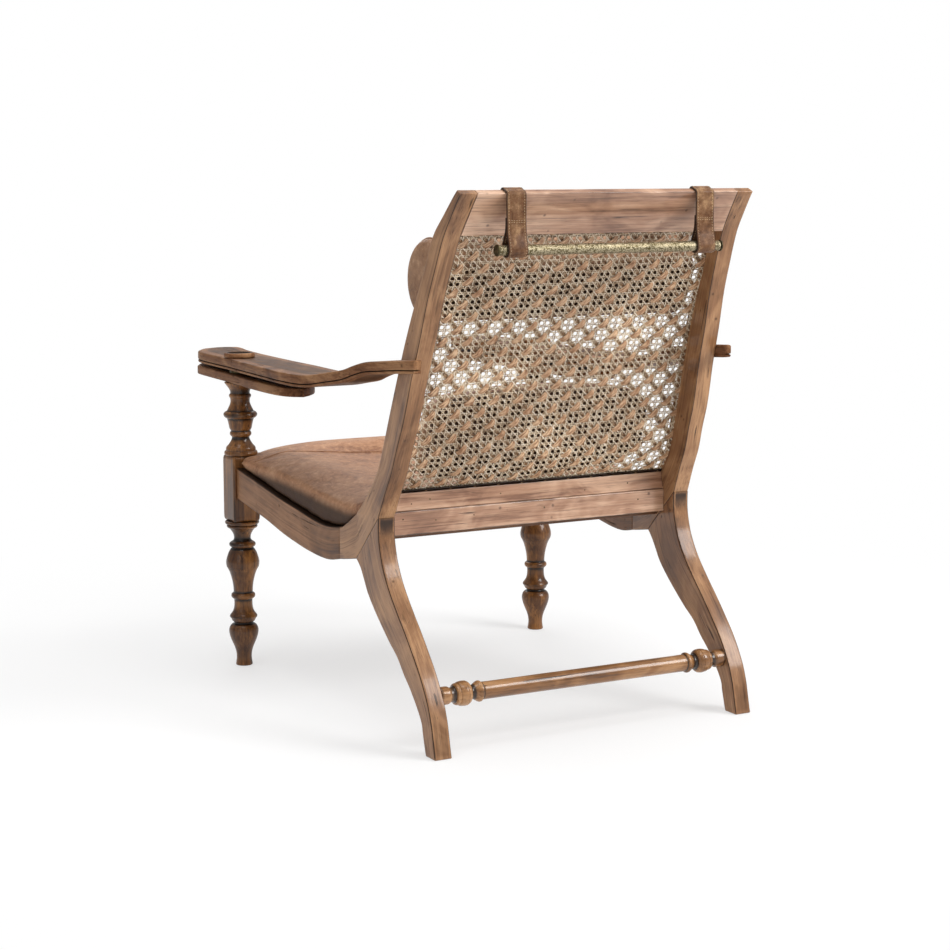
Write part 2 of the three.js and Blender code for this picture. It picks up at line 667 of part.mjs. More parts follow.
function seatPlaces() {
  const betweenBlocks = frontLegX - blockSide / 2 - seatBlockClearance;
  const frontTop = seatTop[0][1];
  const underside = frontRailTop + softGap;
  const shoulder = seatBlockClearance - railEnd;
  const front = seatFrontShares.map(([forward, share]) => ({
    y: -legSetback - forward * seatFront,
    half: betweenBlocks - (1 - share) * seatFront / 2,
    bottom: underside,
    top: underside + share * (frontTop - underside),
    crown: share,
  }));
  const neck = [shoulder - blockSide / 2, shoulder].map((y) => (
    { y, half: betweenBlocks, bottom: underside, top: frontTop, crown: 1 }
  ));
  const body = [[shoulder + softGap, frontTop], ...seatTop.slice(1)].map(([y, top]) => (
    { y, half: seatHalf(y), bottom: seatUnderside(y), top, crown: 1 }
  ));
  const tail = body.pop();
  const before = body.at(-1);
  const ends = seatEndShares.map(([back, share]) => {
    const y = before.y + back * (tail.y - before.y);
    return { y, half: seatHalf(y), bottom: seatUnderside(y), top: tail.top, crown: share };
  });
  return [...front, ...neck, ...body, ...ends];
}

function seatCushionGeometry() {
  return loft(seatPlaces().map(({ y, half, bottom, top, crown }) => {
    const ring = [];
    for (let i = 0; i < seatSides; i++) {
      const [across, up] = roundedPoint(2 * Math.PI * (i + 0.5) / seatSides, seatSquareShare);
      const lift = up > 0 ? crown * seatCrown * (1 - across * across) : 0;
      ring.push(new THREE.Vector3(across * half, y, (top + bottom + up * (top - bottom)) / 2 + lift));
    }
    return ring;
  }));
}

// A soft roll along X, narrowing towards both ends. ringAt gives the ring in the side view at a share of full size.
function softRoll(halfLength, shares, ringAt) {
  const ends = [...shares].reverse().map(([along, out]) => [-along, out]);
  return loft([...ends, ...shares.slice(1)].map(([along, out]) => (
    ringAt(out).map(([y, z]) => new THREE.Vector3(along * halfLength, y, z))
  )));
}

// Back cushion: its rear follows the cane, its front bulges, and its ends draw in
function backCushionGeometry() {
  const halfHeight = backCushionHeight / 2;
  const middle = kneeHeight + backCushionLift + halfHeight;
  const rearY = (z) => caneFrontY(z) - softGap;
  return softRoll(backCushionHalfWidth, puffShares, (out) => {
    const ring = [];
    for (let i = 0; i < backCushionSides; i++) {
      const [along, up] = roundedPoint(2 * Math.PI * (i + 0.5) / backCushionSides, cushionSquareShare);
      const z = middle + up * halfHeight * (1 + out) / 2;
      const depth = out * backCushionThickness;
      ring.push([rearY(z) - depth * (1 - along) / 2, z]);
    }
    return ring;
  });
}

// Where the straps meet the pillow, as an angle round its axis from straight back
const strapAttach = THREE.MathUtils.degToRad(strapAttachAngle);

// The cane's direction behind the pillow, up and back, and the pillow's axis in the side view
const pillowOnCane = kneeHeight + pillowUp;
const caneSlope = new THREE.Vector2(
  stileFrontY(pillowOnCane + pillowRadius) - stileFrontY(pillowOnCane - pillowRadius), 2 * pillowRadius,
).normalize();
const offCane = new THREE.Vector2(-caneSlope.y, caneSlope.x);
const pillowAxis = new THREE.Vector2(stileFrontY(pillowOnCane), pillowOnCane)
  .addScaledVector(offCane, pillowFlat + pillowPlay);

// Head pillow: a roll flattened where it lies on the cane
function pillowGeometry() {
  const first = caneSlope.angle() - strapAttach;
  return softRoll(pillowHalfLength, rollShares, (out) => {
    const ring = [];
    for (let i = 0; i < pillowSides; i++) {
      const angle = first + 2 * Math.PI * i / pillowSides;
      const back = Math.min(pillowRadius * out * Math.sin(angle), pillowFlat);
      const point = pillowAxis.clone().addScaledVector(caneSlope, pillowRadius * out * Math.cos(angle))
        .addScaledVector(offCane, -back);
      ring.push(point.toArray());
    }
    return ring;
  });
}

// Straps and the rod that hangs in their loops

const rodY = stileTopRear[0] - rodInset;
const rodHeight = stileTopRear[1] - rodDrop;

// The line that a pulled strap takes over these points, leaving out those that it passes above.
function tautLine(points) {
  const line = [];
  for (const point of points) {
    while (line.length > 1) {
      const [p, q] = line.slice(-2);
      const turn = (q[0] - p[0]) * (point[1] - p[1]) - (q[1] - p[1]) * (point[0] - p[0]);
      if (turn < 0) break;
      line.pop();
    }
    line.push(point);
  }
  return line;
}

// The same line moved sideways, to the left of the way it runs.
function besideLine(points, distance) {
  const normals = points.slice(1).map(([y, z], i) => {
    const step = new THREE.Vector2(y - points[i][0], z - points[i][1]).normalize();
    return new THREE.Vector2(-step.y, step.x);
  });
  return points.map(([y, z], i) => {
    const before = normals[Math.max(0, i - 1)];
    const after = normals[Math.min(i, normals.length - 1)];
    const side = before.clone().add(after).multiplyScalar(distance / (1 + before.dot(after)));
    return [y + side.x, z + side.y];
  });
}

// Strap: from the pillow over the top rail, then straight down to its sewn loop round the rod
function strapGeometry() {
  const [rearY, rearZ] = stileTopRear;
  const seam = rearZ - strapSeamDrop;
  const reach = new THREE.Vector2(Math.cos(strapAttach), Math.sin(strapAttach))
    .multiplyScalar(pillowRadius + strapClearance).add(pillowAxis).toArray();
  const railFront = stileFront.filter(([, z]) => z > topRailBottom);
  const over = tautLine([reach, [stileFrontY(topRailBottom), topRailBottom], ...railFront, stileTopRear, [rearY, seam]]);
  const inner = besideLine(over, strapClearance).slice(1);
  const outer = besideLine(over, strapClearance + strapThickness).reverse();
  const hang = inner.at(-1)[0];
  const loop = rodRadius + gap + strapThickness;
  const loopTop = rodHeight + strapLoopLength;
  const outline = new THREE.Shape();
  outline.moveTo(...reach);
  for (const point of inner) outline.lineTo(...point);
  outline.lineTo(hang - strapThickness, seam);
  outline.lineTo(hang - strapThickness, loopTop);
  outline.lineTo(rodY - loop, rodHeight);
  outline.absarc(rodY, rodHeight, loop, Math.PI, 2 * Math.PI, false);
  outline.lineTo(hang + strapThickness, loopTop);
  for (const point of outer) outline.lineTo(...point);
  const eye = new THREE.Path();
  eye.absarc(rodY, rodHeight, rodRadius + gap, 0, 2 * Math.PI, true);
  outline.holes.push(eye);
  return new THREE.ExtrudeGeometry(outline, { depth: strapWidth, bevelEnabled: false, curveSegments: turnedSides })
    .rotateY(Math.PI / 2).rotateX(Math.PI / 2)
    .translate(strapOffset - strapWidth / 2, 0, 0);
}

function counterweightGeometry() {
  return new THREE.CylinderGeometry(rodRadius, rodRadius, 2 * rodHalfLength, turnedSides)
    .rotateZ(Math.PI / 2).translate(0, rodY, rodHeight);
}

function rodCapGeometry() {
  return new THREE.CylinderGeometry(rodCapRadius, rodCapRadius, rodCapThickness, turnedSides)
    .rotateZ(Math.PI / 2).translate(rodHalfLength + gap + rodCapThickness / 2, rodY, rodHeight);
}

// The chair

const chair = new THREE.Group();

function addPiece(name, geometry, surface) {
  const mesh = new THREE.Mesh(tidy(geometry), surface);
  mesh.name = name;
  chair.add(mesh);
}

function addPair(name, geometry, surface) {
  addPiece(`${name}_left`, geometry, surface());
  addPiece(`${name}_right`, mirrored(geometry), surface());
}

addPair('front_leg', frontLegGeometry(), wood);
addPair('rear_leg', rearLegGeometry(), wood);
addPair('back_stile', stileGeometry(), wood);
addPair('side_rail', sideRailGeometry(), wood);
addPiece('front_seat_rail', frontSeatRailGeometry(), wood());
addPiece('rear_seat_rail', rearSeatRailGeometry(), wood());
addPiece('lower_back_rail', lowerBackRailGeometry(), wood());
addPiece('top_rail', topRailGeometry(), wood());
addPiece('rear_stretcher', stretcherGeometry(), wood());
addPiece('cane_panel', caneGeometry(), cane());
addPair('cane_spline', sideSplineGeometry(), darkWood);
addPiece('cane_spline_top', endSplineGeometry(caneTop - splineWidth), darkWood());
addPiece('cane_spline_bottom', endSplineGeometry(caneBottom), darkWood());
addPiece('seat_deck', deckGeometry(), darkWood());
addPair('seat_cleat', cleatGeometry(), darkWood);
addPair('arm', armGeometry(), wood);
addPair('leg_rest', restGeometry(), wood);
addPair('pivot_washer', washerGeometry(), brass);
addPair('pivot_cap', capGeometry(), wood);
addPiece('seat_cushion', seatCushionGeometry(), leather());
addPiece('back_cushion', backCushionGeometry(), leather());
addPiece('head_pillow', pillowGeometry(), leather());
addPair('strap', strapGeometry(), leather);
addPiece('counterweight_rod', counterweightGeometry(), brass());
addPair('rod_cap', rodCapGeometry(), bronze);

// The origin is on the floor, under the middle of the whole chair
const extent = new THREE.Box3().setFromObject(chair);
chair.position.y = -(extent.min.y + extent.max.y) / 2;

export default chair;
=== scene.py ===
# A planters chair: weathered brown hardwood, a cane back, leather cushions, and a
# head pillow on two straps that a hammered brass rod holds in place from behind.
# Sizes are millimetres until a piece is made: +X the sitter's left, the front
# towards -Y, Z up from the floor, and Y counted from the back edge of the rear feet.

import json
import math

import bmesh
import bpy
import numpy as np
from mathutils import Matrix, Vector
from mathutils.bvhtree import BVHTree

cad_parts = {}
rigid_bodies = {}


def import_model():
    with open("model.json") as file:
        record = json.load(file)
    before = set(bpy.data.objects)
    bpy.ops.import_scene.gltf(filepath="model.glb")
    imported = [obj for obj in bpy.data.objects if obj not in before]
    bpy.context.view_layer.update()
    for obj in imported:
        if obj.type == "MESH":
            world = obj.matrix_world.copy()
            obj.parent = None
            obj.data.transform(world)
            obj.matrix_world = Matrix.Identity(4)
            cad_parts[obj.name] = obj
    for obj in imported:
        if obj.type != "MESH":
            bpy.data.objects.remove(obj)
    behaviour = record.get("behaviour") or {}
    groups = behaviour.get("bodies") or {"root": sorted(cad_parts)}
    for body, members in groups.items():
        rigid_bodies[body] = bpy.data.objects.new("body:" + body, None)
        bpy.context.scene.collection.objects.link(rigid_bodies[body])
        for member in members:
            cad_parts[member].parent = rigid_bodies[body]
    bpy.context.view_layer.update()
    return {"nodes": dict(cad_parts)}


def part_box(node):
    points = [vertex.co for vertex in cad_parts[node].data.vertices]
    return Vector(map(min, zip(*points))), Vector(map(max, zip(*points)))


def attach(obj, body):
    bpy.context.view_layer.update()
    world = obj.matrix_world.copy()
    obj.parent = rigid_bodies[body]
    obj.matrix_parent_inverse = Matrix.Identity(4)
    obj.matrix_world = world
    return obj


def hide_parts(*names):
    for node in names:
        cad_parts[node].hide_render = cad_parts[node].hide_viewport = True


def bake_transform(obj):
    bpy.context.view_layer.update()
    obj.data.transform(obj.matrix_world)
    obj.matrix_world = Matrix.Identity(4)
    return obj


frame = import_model()
rear_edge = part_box("rear_leg_left")[1][1]
mm = 0.001
full_turn = 2 * math.pi
both_sides = ((1, "left"), (-1, "right"))


def metres(points):
    """Points of the drawing in millimetres, as places in the chair's frame in metres."""
    placed = np.array(points, float) * mm
    placed[..., 1] += rear_edge
    return placed


def placed_object(name, data):
    made = bpy.data.objects.new(name, data)
    bpy.context.collection.objects.link(made)
    return made


# ---------------- camera

camera_data = bpy.data.cameras.new("camera")
camera_data.lens = 79.579
camera_data.sensor_width = 36
camera_data.clip_end = 100
camera = placed_object("camera", camera_data)
bpy.context.scene.camera = camera
camera_right = Vector((-0.87568036, 0.4828912, 0))
camera_up = Vector((-0.07131192, -0.12931785, 0.98903564))
turned = Matrix((camera_right, camera_up, camera_right.cross(camera_up))).transposed().to_4x4()
camera.matrix_world = Matrix.Translation(metres((1927.2852, 3040.7244, 1001.739))) @ turned

# ---------------- sizes

knee_height = 384
leg_setback = 800
back_rise = 566
back_reach = 237
frame_half_width = 327.7
front_spread = 33.3
back_taper = 35.7
timber = 33.1
gap = 0.3
knee_y = -0.264 * leg_setback
taper_start = -299.2

front_leg_x = 339.9
front_leg_y = -800
leg_centre = (front_leg_x, front_leg_y, 0)
block_half = 28
turning_sides = 64
splay_start = 284.8
rail_end = 772
rail_low = 0.892 * knee_height
rail_high = 1.051 * knee_height

arm_width = 116
arm_reach = 1036
arm_height = 620
arm_rise = 52
rest_length = 536
rest_top = 589.4
rest_sag = math.radians(0.53)

pillow_radius = 75
pillow_flat = 58.4
pillow_axis = (-166.0, 800.0)
pillow_half = 262
strap_offset = 188
strap_width = 37.5
strap_thickness = 3
rod_y, rod_z = 24.3, 857
rod_half = 221

board_joint = 386
top_rail_bottom = 880
cane_bottom = 419.3
cane_top = 879.7
cane_middle = 4.8  # from the stiles' front edge to the middle of the cane
cane_cell = 24.08
cane_stretch = (1.03, 0.97)
cane_move = (14.8, 1.6)

# ---------------- side view lines

leg_rear = [
    [0, 0], [.013, .117], [.018, .156], [.033, .234], [.066, .344], [.106, .443], [.144, .529], [.171, .586],
    [.217, .693], [.244, .781], [.255, .839], [.263, .911], [.264, 1]]
leg_front = [
    [.044, 0], [.058, .099], [.062, .135], [.077, .182], [.115, .268], [.145, .323], [.177, .391], [.215, .445],
    [.281, .555], [.32, .633], [.34, .693], [.356, .74], [.374, .776]]
knee_top = [[.448, .904], [.435, .911], [.374, .987]]
knee_bottom = [[.448, .75], [.431, .755], [.374, .776]]
rail_top = [
    [.448, .904], [.5, .892], [.547, .896], [.606, .913], [.642, .927], [.723, .953], [.816, .991], [.894, 1.023],
    [.965, 1.051]]
rail_bottom = [
    [.448, .75], [.5, .73], [.547, .73], [.606, .742], [.642, .753], [.723, .784], [.816, .831], [.894, .863],
    [.965, .892]]
stile_front = [
    [-.35, 0], [-.16, .081], [-.046, .152], [.017, .223], [.084, .311], [.19, .443], [.291, .56], [.418, .684],
    [.515, .767], [.624, .873], [.764, .936], [.941, 1.011]]
stile_rear = [
    [0, 0], [.089, .081], [.177, .152], [.238, .223], [.323, .311], [.414, .443], [.508, .56], [.597, .684],
    [.675, .767], [.785, .873], [.886, .936], [1, 1]]


def low(shares):
    """A line of the legs and rails, in millimetres."""
    return [(-forward * leg_setback, up * knee_height) for forward, up in shares]


def high(shares):
    """A line of the back, in millimetres."""
    return [(knee_y + back * back_reach, knee_height + up * back_rise) for back, up in shares]


def outer_face(y, z):
    """How far the outer side of the frame is from the middle of the chair."""
    splay = front_spread * np.maximum(0, -y - splay_start) / (rail_end - splay_start)
    taper = np.where(y > taper_start, back_taper * np.maximum(0, z - knee_height) / back_rise, 0)
    return frame_half_width + splay - taper


def inner_face(y, z):
    return outer_face(y, z) - timber


def lengths(line):
    """How far each point of a line is from its start."""
    return np.concatenate([[0], np.cumsum(np.linalg.norm(np.diff(line, axis=0), axis=1))])


def smooth(points, steps=5, corners=()):
    """Points on a flowing line through the given ones, which breaks only at the corners."""
    p = np.array(points, float)
    t = np.concatenate([[0], np.cumsum(np.linalg.norm(np.diff(p, axis=0), axis=1) + 1e-6)])
    last = len(p) - 1
    out = []
    for i in range(last):
        h = t[i + 1] - t[i]
        chord = (p[i + 1] - p[i]) / h
        start = chord if i == 0 or i in corners else (p[i + 1] - p[i - 1]) / (t[i + 1] - t[i - 1])
        end = chord if i + 1 == last or i + 1 in corners else (p[i + 2] - p[i]) / (t[i + 2] - t[i])
        for s in np.arange(steps) / steps:
            out.append((2 * s**3 - 3 * s**2 + 1) * p[i] + (s**3 - 2 * s**2 + s) * h * start
                       + (3 * s**2 - 2 * s**3) * p[i + 1] + (s**3 - s**2) * h * end)
    out.append(p[last])
    return np.array(out)


stile_front_line = smooth(high(stile_front))
stile_rear_line = smooth(high(stile_rear))


def stile_front_y(z):
    return np.interp(z, stile_front_line[:, 1], stile_front_line[:, 0])


def stile_rear_y(z):
    return np.interp(z, stile_rear_line[:, 1], stile_rear_line[:, 0])


def around(count):
    """Angles evenly round a full turn."""
    return np.linspace(0, full_turn, count + 1)[:-1]


# ---------------- shaping

def unit(v):
    return v / max(np.linalg.norm(v), 1e-9)


def units(rows):
    return rows / np.maximum(np.linalg.norm(rows, axis=1), 1e-9)[:, None]


def rounded_ring(sides, radius, inset=5.0):
    """A section with rounded corners, from its sides, and how near an edge each of its points is."""
    points, near = [], []
    for i, side in enumerate(sides):
        before, side = np.array(sides[i - 1], float), np.array(side, float)
        corner = side[0]
        u, v = unit(before[-2] - before[-1]), unit(side[1] - side[0])
        middle = corner + (u + v) * radius
        points.append(corner + u * inset)
        for turn in np.radians((0, 30, 60, 90)):
            points.append(middle - radius * (v * math.cos(turn) + u * math.sin(turn)))
        points.append(corner + v * inset)
        points.extend(side[1:-1])
        near += [0.0, .55, .9, .9, .55, 0.0] + [0.0] * (len(side) - 2)
    return np.array(points), np.array(near)


def four_sides(corners):
    return [(corners[i], corners[(i + 1) % 4]) for i in range(4)]


def box_sides(rear, fore, bottom, top):
    return four_sides([(rear, bottom), (rear, top), (fore, top), (fore, bottom)])


def turned_over(ring, outward, radius):
    """The rings that round a bar's end over, from its full section to its end face."""
    inward = units(np.cross(outward, np.roll(ring, -1, 0) - np.roll(ring, 1, 0)))
    if np.sum((ring.mean(0) - ring) * inward) < 0:
        inward = -inward
    rings = [ring + inward * radius * (1 - math.cos(turn)) - outward * radius * (1 - math.sin(turn))
             for turn in np.radians((0, 30, 60, 90))]
    return rings + [rings[-1] + inward * radius]


class Shell:
    """Corners and faces of a piece, with its grain, and its wear and painted shade.

    Wear is 1 on a rubbed edge and -1 where the piece is darker: dirt in hollows and at joints, and painted shade
    in hollows, in crevices and under other pieces."""

    def __init__(self):
        self.corners, self.faces, self.grain, self.wear_and_shade = [], [], [], []

    def rings(self, rings, grain=None, wear_and_shade=None):
        """Closed rings one after another, with both ends closed."""
        first = len(self.corners)
        sides = len(rings[0])
        grain = grain or [ring * 0 for ring in rings]
        wear_and_shade = [np.broadcast_to(marks, sides) for marks in (wear_and_shade or [0.0] * len(rings))]
        for ring, lines, marks in zip(rings, grain, wear_and_shade):
            self.corners.extend(map(tuple, ring))
            self.grain.extend(map(tuple, lines))
            self.wear_and_shade.extend(marks)
        for i in range(len(rings) - 1):
            for j in range(sides):
                a, b = first + i * sides + j, first + i * sides + (j + 1) % sides
                self.faces.append((a, b, b + sides, a + sides))
        for i in (0, len(rings) - 1):
            middle = len(self.corners)
            self.corners.append(tuple(np.mean(rings[i], 0)))
            self.grain.append(tuple(np.mean(grain[i], 0)))
            self.wear_and_shade.append(float(np.mean(wear_and_shade[i])))
            start = first + i * sides
            self.faces += [(start + j, start + (j + 1) % sides, middle) for j in range(sides)]
        return self

    @property
    def form(self):
        return self.corners, self.faces

    def add(self, other):
        start = len(self.corners)
        self.corners += other.corners
        self.grain += other.grain
        self.wear_and_shade += other.wear_and_shade
        self.faces += [tuple(i + start for i in face) for face in other.faces]
        return self

    def mirrored(self):
        other = Shell()
        other.corners = [(-x, y, z) for x, y, z in self.corners]
        other.faces = [tuple(reversed(face)) for face in self.faces]
        other.grain = [(a + 3.1, b + 0.9, c) for a, b, c in self.grain]
        other.wear_and_shade = list(self.wear_and_shade)
        return other


def shaded_smooth(mesh):
    mesh.polygons.foreach_set("use_smooth", [True] * len(mesh.polygons))


def faced_outwards(mesh):
    shape = bmesh.new()
    shape.from_mesh(mesh)
    bmesh.ops.recalc_face_normals(shape, faces=shape.faces)
    shape.to_mesh(mesh)
    shape.free()
    shaded_smooth(mesh)


def mesh_object(name, corners, faces, material, smooth_angle=50.0, places=metres):
    """A new object in the chair's frame, from corners in millimetres."""
    mesh = bpy.data.meshes.new(name)
    mesh.from_pydata([tuple(c) for c in places(corners)], [], faces)
    faced_outwards(mesh)
    if smooth_angle:
        mesh.set_sharp_from_angle(angle=math.radians(smooth_angle))
    mesh.materials.append(material)
    return placed_object(name, mesh)


def mark(made, name, values):
    """Writes a value or a vector for each corner of a mesh, as an attribute that its material reads."""
    values = np.array(values, np.float32)
    kind, field = ("FLOAT", "value") if values.ndim == 1 else ("FLOAT_VECTOR", "vector")
    made.data.attributes.new(name, kind, "POINT").data.foreach_set(field, values.ravel())


def wooden(name, shell, material, smooth_angle=50.0):
    made = mesh_object(name, *shell.form, material, smooth_angle)
    mark(made, "grain", shell.grain)
    mark(made, "wear_and_shade", shell.wear_and_shade)
    return made


def plain_mesh(made):
    """Turns what an object's modifiers make into its plain mesh, and takes the modifiers off."""
    seen = made.evaluated_get(bpy.context.evaluated_depsgraph_get())
    mesh = bpy.data.meshes.new_from_object(seen)
    made.modifiers.clear()
    made.data = mesh
    return made


def modified(made, kind, **settings):
    """Applies one modifier to an object."""
    change = made.modifiers.new("change", kind)
    for name, value in settings.items():
        setattr(change, name, value)
    return plain_mesh(made)


def corner_places(made):
    return np.array([v.co for v in made.data.vertices])


def finish_piece(made, body, slot, *nodes):
    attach(made, body)
    if nodes:
        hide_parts(*nodes)
    return made


# ---------------- node trees

def paint(code):
    """A colour as it is seen, turned into the light values that a shader takes."""
    seen = [int(code[i:i + 2], 16) / 255 for i in (0, 2, 4)]
    return (*(c / 12.92 if c <= 0.04045 else ((c + 0.055) / 1.055) ** 2.4 for c in seen), 1.0)


def paints(codes):
    return [paint(code) for code in codes.split()]


class Graph:
    """Adds nodes to a tree and joins them: an input is a value, or the socket that feeds it."""

    def __init__(self, tree):
        self.tree = tree

    def add(self, kind, inputs=None, **settings):
        node = self.tree.nodes.new(kind)
        for name, value in settings.items():
            setattr(node, name, value)
        for name, value in (inputs or {}).items():
            socket = node.inputs[name]
            if isinstance(value, bpy.types.NodeSocket):
                self.tree.links.new(value, socket)
            else:
                socket.default_value = value
        return node

    def out(self, kind, inputs=None, **settings):
        """The first output of a new node."""
        return self.add(kind, inputs, **settings).outputs[0]

    def form(self, kind, inputs=None, **settings):
        """The first output of a new geometry node."""
        return self.out("GeometryNode" + kind, inputs, **settings)

    def place(self):
        return self.add("ShaderNodeTexCoord").outputs["Object"]

    def attribute(self, name, output="Fac"):
        return self.add("ShaderNodeAttribute", attribute_name=name).outputs[output]

    def math(self, operation, a, b=0.0, clamp=False):
        return self.out("ShaderNodeMath", {0: a, 1: b}, operation=operation, use_clamp=clamp)

    def times(self, a, b):
        return self.math("MULTIPLY", a, b)

    def plus(self, a, b, clamp=False):
        return self.math("ADD", a, b, clamp)

    def rest(self, a):
        """What is left of one."""
        return self.math("SUBTRACT", 1.0, a)

    def total(self, *parts):
        """The sum of values, each with its share."""
        done = self.times(*parts[0])
        for value, share in parts[1:]:
            done = self.plus(done, self.times(value, share))
        return done

    def xyz(self, x=0.0, y=0.0, z=0.0):
        return self.out("ShaderNodeCombineXYZ", {0: x, 1: y, 2: z})

    def vector(self, operation, a, b):
        return self.out("ShaderNodeVectorMath", {0: a, 1: b}, operation=operation)

    def spread(self, value, low_end, high_end, to_low=0.0, to_high=1.0):
        """Stretches the part of a value between two ends, and holds it outside them."""
        return self.out("ShaderNodeMapRange", {0: value, 1: low_end, 2: high_end, 3: to_low, 4: to_high},
                        clamp=True, interpolation_type="SMOOTHSTEP")

    def blend(self, share, a, b):
        return self.add("ShaderNodeMix", {0: share, 6: a, 7: b}, data_type="RGBA").outputs[2]

    def three_tones(self, tone, ends, dark, middle, light):
        """A colour that goes from dark through the middle one to light."""
        colour = self.blend(self.spread(tone, ends[0], ends[1]), dark, middle)
        return self.blend(self.spread(tone, ends[2], ends[3]), colour, light)

    def layers(self, colour, *layers):
        """Lays colours over one another, each with its share."""
        for share, over in layers:
            colour = self.blend(share, colour, over)
        return colour

    def noise(self, vector, scale, detail=3.0, roughness=0.5, distortion=0.0):
        """Clouds: one scale all over, or three that stretch them."""
        if isinstance(scale, tuple):
            vector, scale = self.vector("MULTIPLY", vector, scale), 1.0
        return self.out("ShaderNodeTexNoise", {"Vector": vector, "Scale": scale, "Detail": detail,
                                               "Roughness": roughness, "Distortion": distortion})

    def cells(self, vector, scale, feature="F1"):
        return self.out("ShaderNodeTexVoronoi", {"Vector": vector, "Scale": scale}, feature=feature)

    def bump(self, height, distance, strength=1.0, under=None):
        inputs = {"Height": height, "Distance": distance, "Strength": strength}
        if under is not None:
            inputs["Normal"] = under
        return self.out("ShaderNodeBump", inputs)

    def surface(self, colour, roughness, normal, **fixed):
        """Joins a colour, a roughness and a bump to the shader; the rest is the same all over."""
        names = {"specular": "Specular IOR Level", "sheen": "Sheen Weight", "coat": "Coat Weight",
                 "coat_roughness": "Coat Roughness", "metallic": "Metallic"}
        inputs = {"Base Color": colour, "Roughness": roughness, "Normal": normal}
        inputs.update((names[name], value) for name, value in fixed.items())
        self.add("ShaderNodeOutputMaterial", {"Surface": self.out("ShaderNodeBsdfPrincipled", inputs)})


def new_material(name):
    material = bpy.data.materials.new(name)
    material.use_nodes = True
    material.node_tree.nodes.clear()
    return material, Graph(material.node_tree)


def weathered_wood(name, codes, along=None, gloss=0.18, shine=0.38, haze=0.2):
    """Waxed old hardwood: streaked grain, open pores, short checks, dents, and darker places where a piece's wear
    marks fall below nought: dirt, and painted shade in hollows, crevices and under other pieces.

    The grain is the piece's own, unless a direction is given for it."""
    material, g = new_material(name)
    dark, middle, light, dirt_and_shade = paints(codes)
    if along is None:
        grain, wear_and_shade = g.attribute("grain", "Vector"), g.attribute("wear_and_shade")
    else:
        turn = Vector((1, 0, 0)).rotation_difference(Vector(along)).inverted().to_euler()
        grain = g.out("ShaderNodeMapping", {"Vector": g.place(), "Rotation": turn})
        wear_and_shade = g.times(g.math("SUBTRACT", g.noise(grain, 3.0, 1.0), 0.5), 0.2)
    figure = g.noise(grain, (1.5, 19.0, 19.0), 4.0, 0.6, 1.2)
    streaks = g.noise(grain, (6.0, 215.0, 215.0), 5.0, 0.7, 0.5)
    fibres = g.noise(grain, (26.0, 900.0, 900.0), 2.0, 0.6)
    patches = g.noise(grain, (8.0, 12.0, 12.0), 3.0, 0.6, 0.8)
    tone = g.total((figure, 0.45), (streaks, 0.35), (patches, 0.2))
    colour = g.three_tones(tone, (0.36, 0.5, 0.49, 0.64), dark, middle, light)
    worn = g.spread(g.total((patches, 1.0), (streaks, 0.3)), 0.58, 0.84, 0.0, 0.55)
    stained = g.spread(patches, 0.44, 0.24, 0.0, 0.5)
    pores = g.times(g.spread(fibres, 0.40, 0.31), 0.45)
    lines = g.spread(g.noise(grain, (3.0, 260.0, 260.0), 2.0, 0.5, 0.3), 0.40, 0.33, 0.0, 0.32)
    # short checks that run with the grain, and small round dents
    crack_line = g.noise(grain, (9.0, 210.0, 210.0), 1.0, 0.4, 0.3)
    crack_area = g.noise(grain, (10.0, 16.0, 16.0), 2.0)
    cracks = g.times(g.spread(crack_line, 0.31, 0.27), g.spread(crack_area, 0.52, 0.62))
    dents = g.times(g.spread(g.cells(grain, 46.0), 0.2, 0.05), g.spread(g.noise(grain, 21.0, 1.0), 0.55, 0.64))
    marks = g.math("MAXIMUM", cracks, g.times(dents, 0.75))
    rubbed = g.times(g.spread(wear_and_shade, 0.1, 0.9), g.spread(patches, 0.36, 0.62))
    edge_stain = g.times(g.spread(wear_and_shade, 0.45, 0.95), g.spread(patches, 0.6, 0.38))
    # negative wear marks paint the wood darker: dirt at joints and in hollows, and painted shade in hollows, in
    # crevices and under other pieces
    dirt_and_painted_shade = g.spread(g.total((wear_and_shade, 1.0), (patches, 0.2)), 0.0, -0.42, 0.0, 0.95)
    colour = g.layers(
        colour, (worn, light), (stained, dark), (pores, dirt_and_shade), (lines, dirt_and_shade), (g.times(marks, 0.8), dirt_and_shade),
        (g.times(rubbed, 0.42), light), (g.times(edge_stain, 0.75), dirt_and_shade), (dirt_and_painted_shade, dirt_and_shade))
    roughness = g.spread(g.total((tone, 1.0), (marks, 0.4)), 0.3, 0.9, 0.38, 0.66)
    normal = g.bump(g.total((streaks, 0.5), (fibres, 0.25)), 0.0006, 0.55)
    normal = g.bump(g.rest(marks), 0.0011, 0.9, normal)
    normal = g.bump(patches, 0.004, 0.35, normal)
    g.surface(colour, roughness, normal, specular=shine, coat=gloss, coat_roughness=haze)
    return material


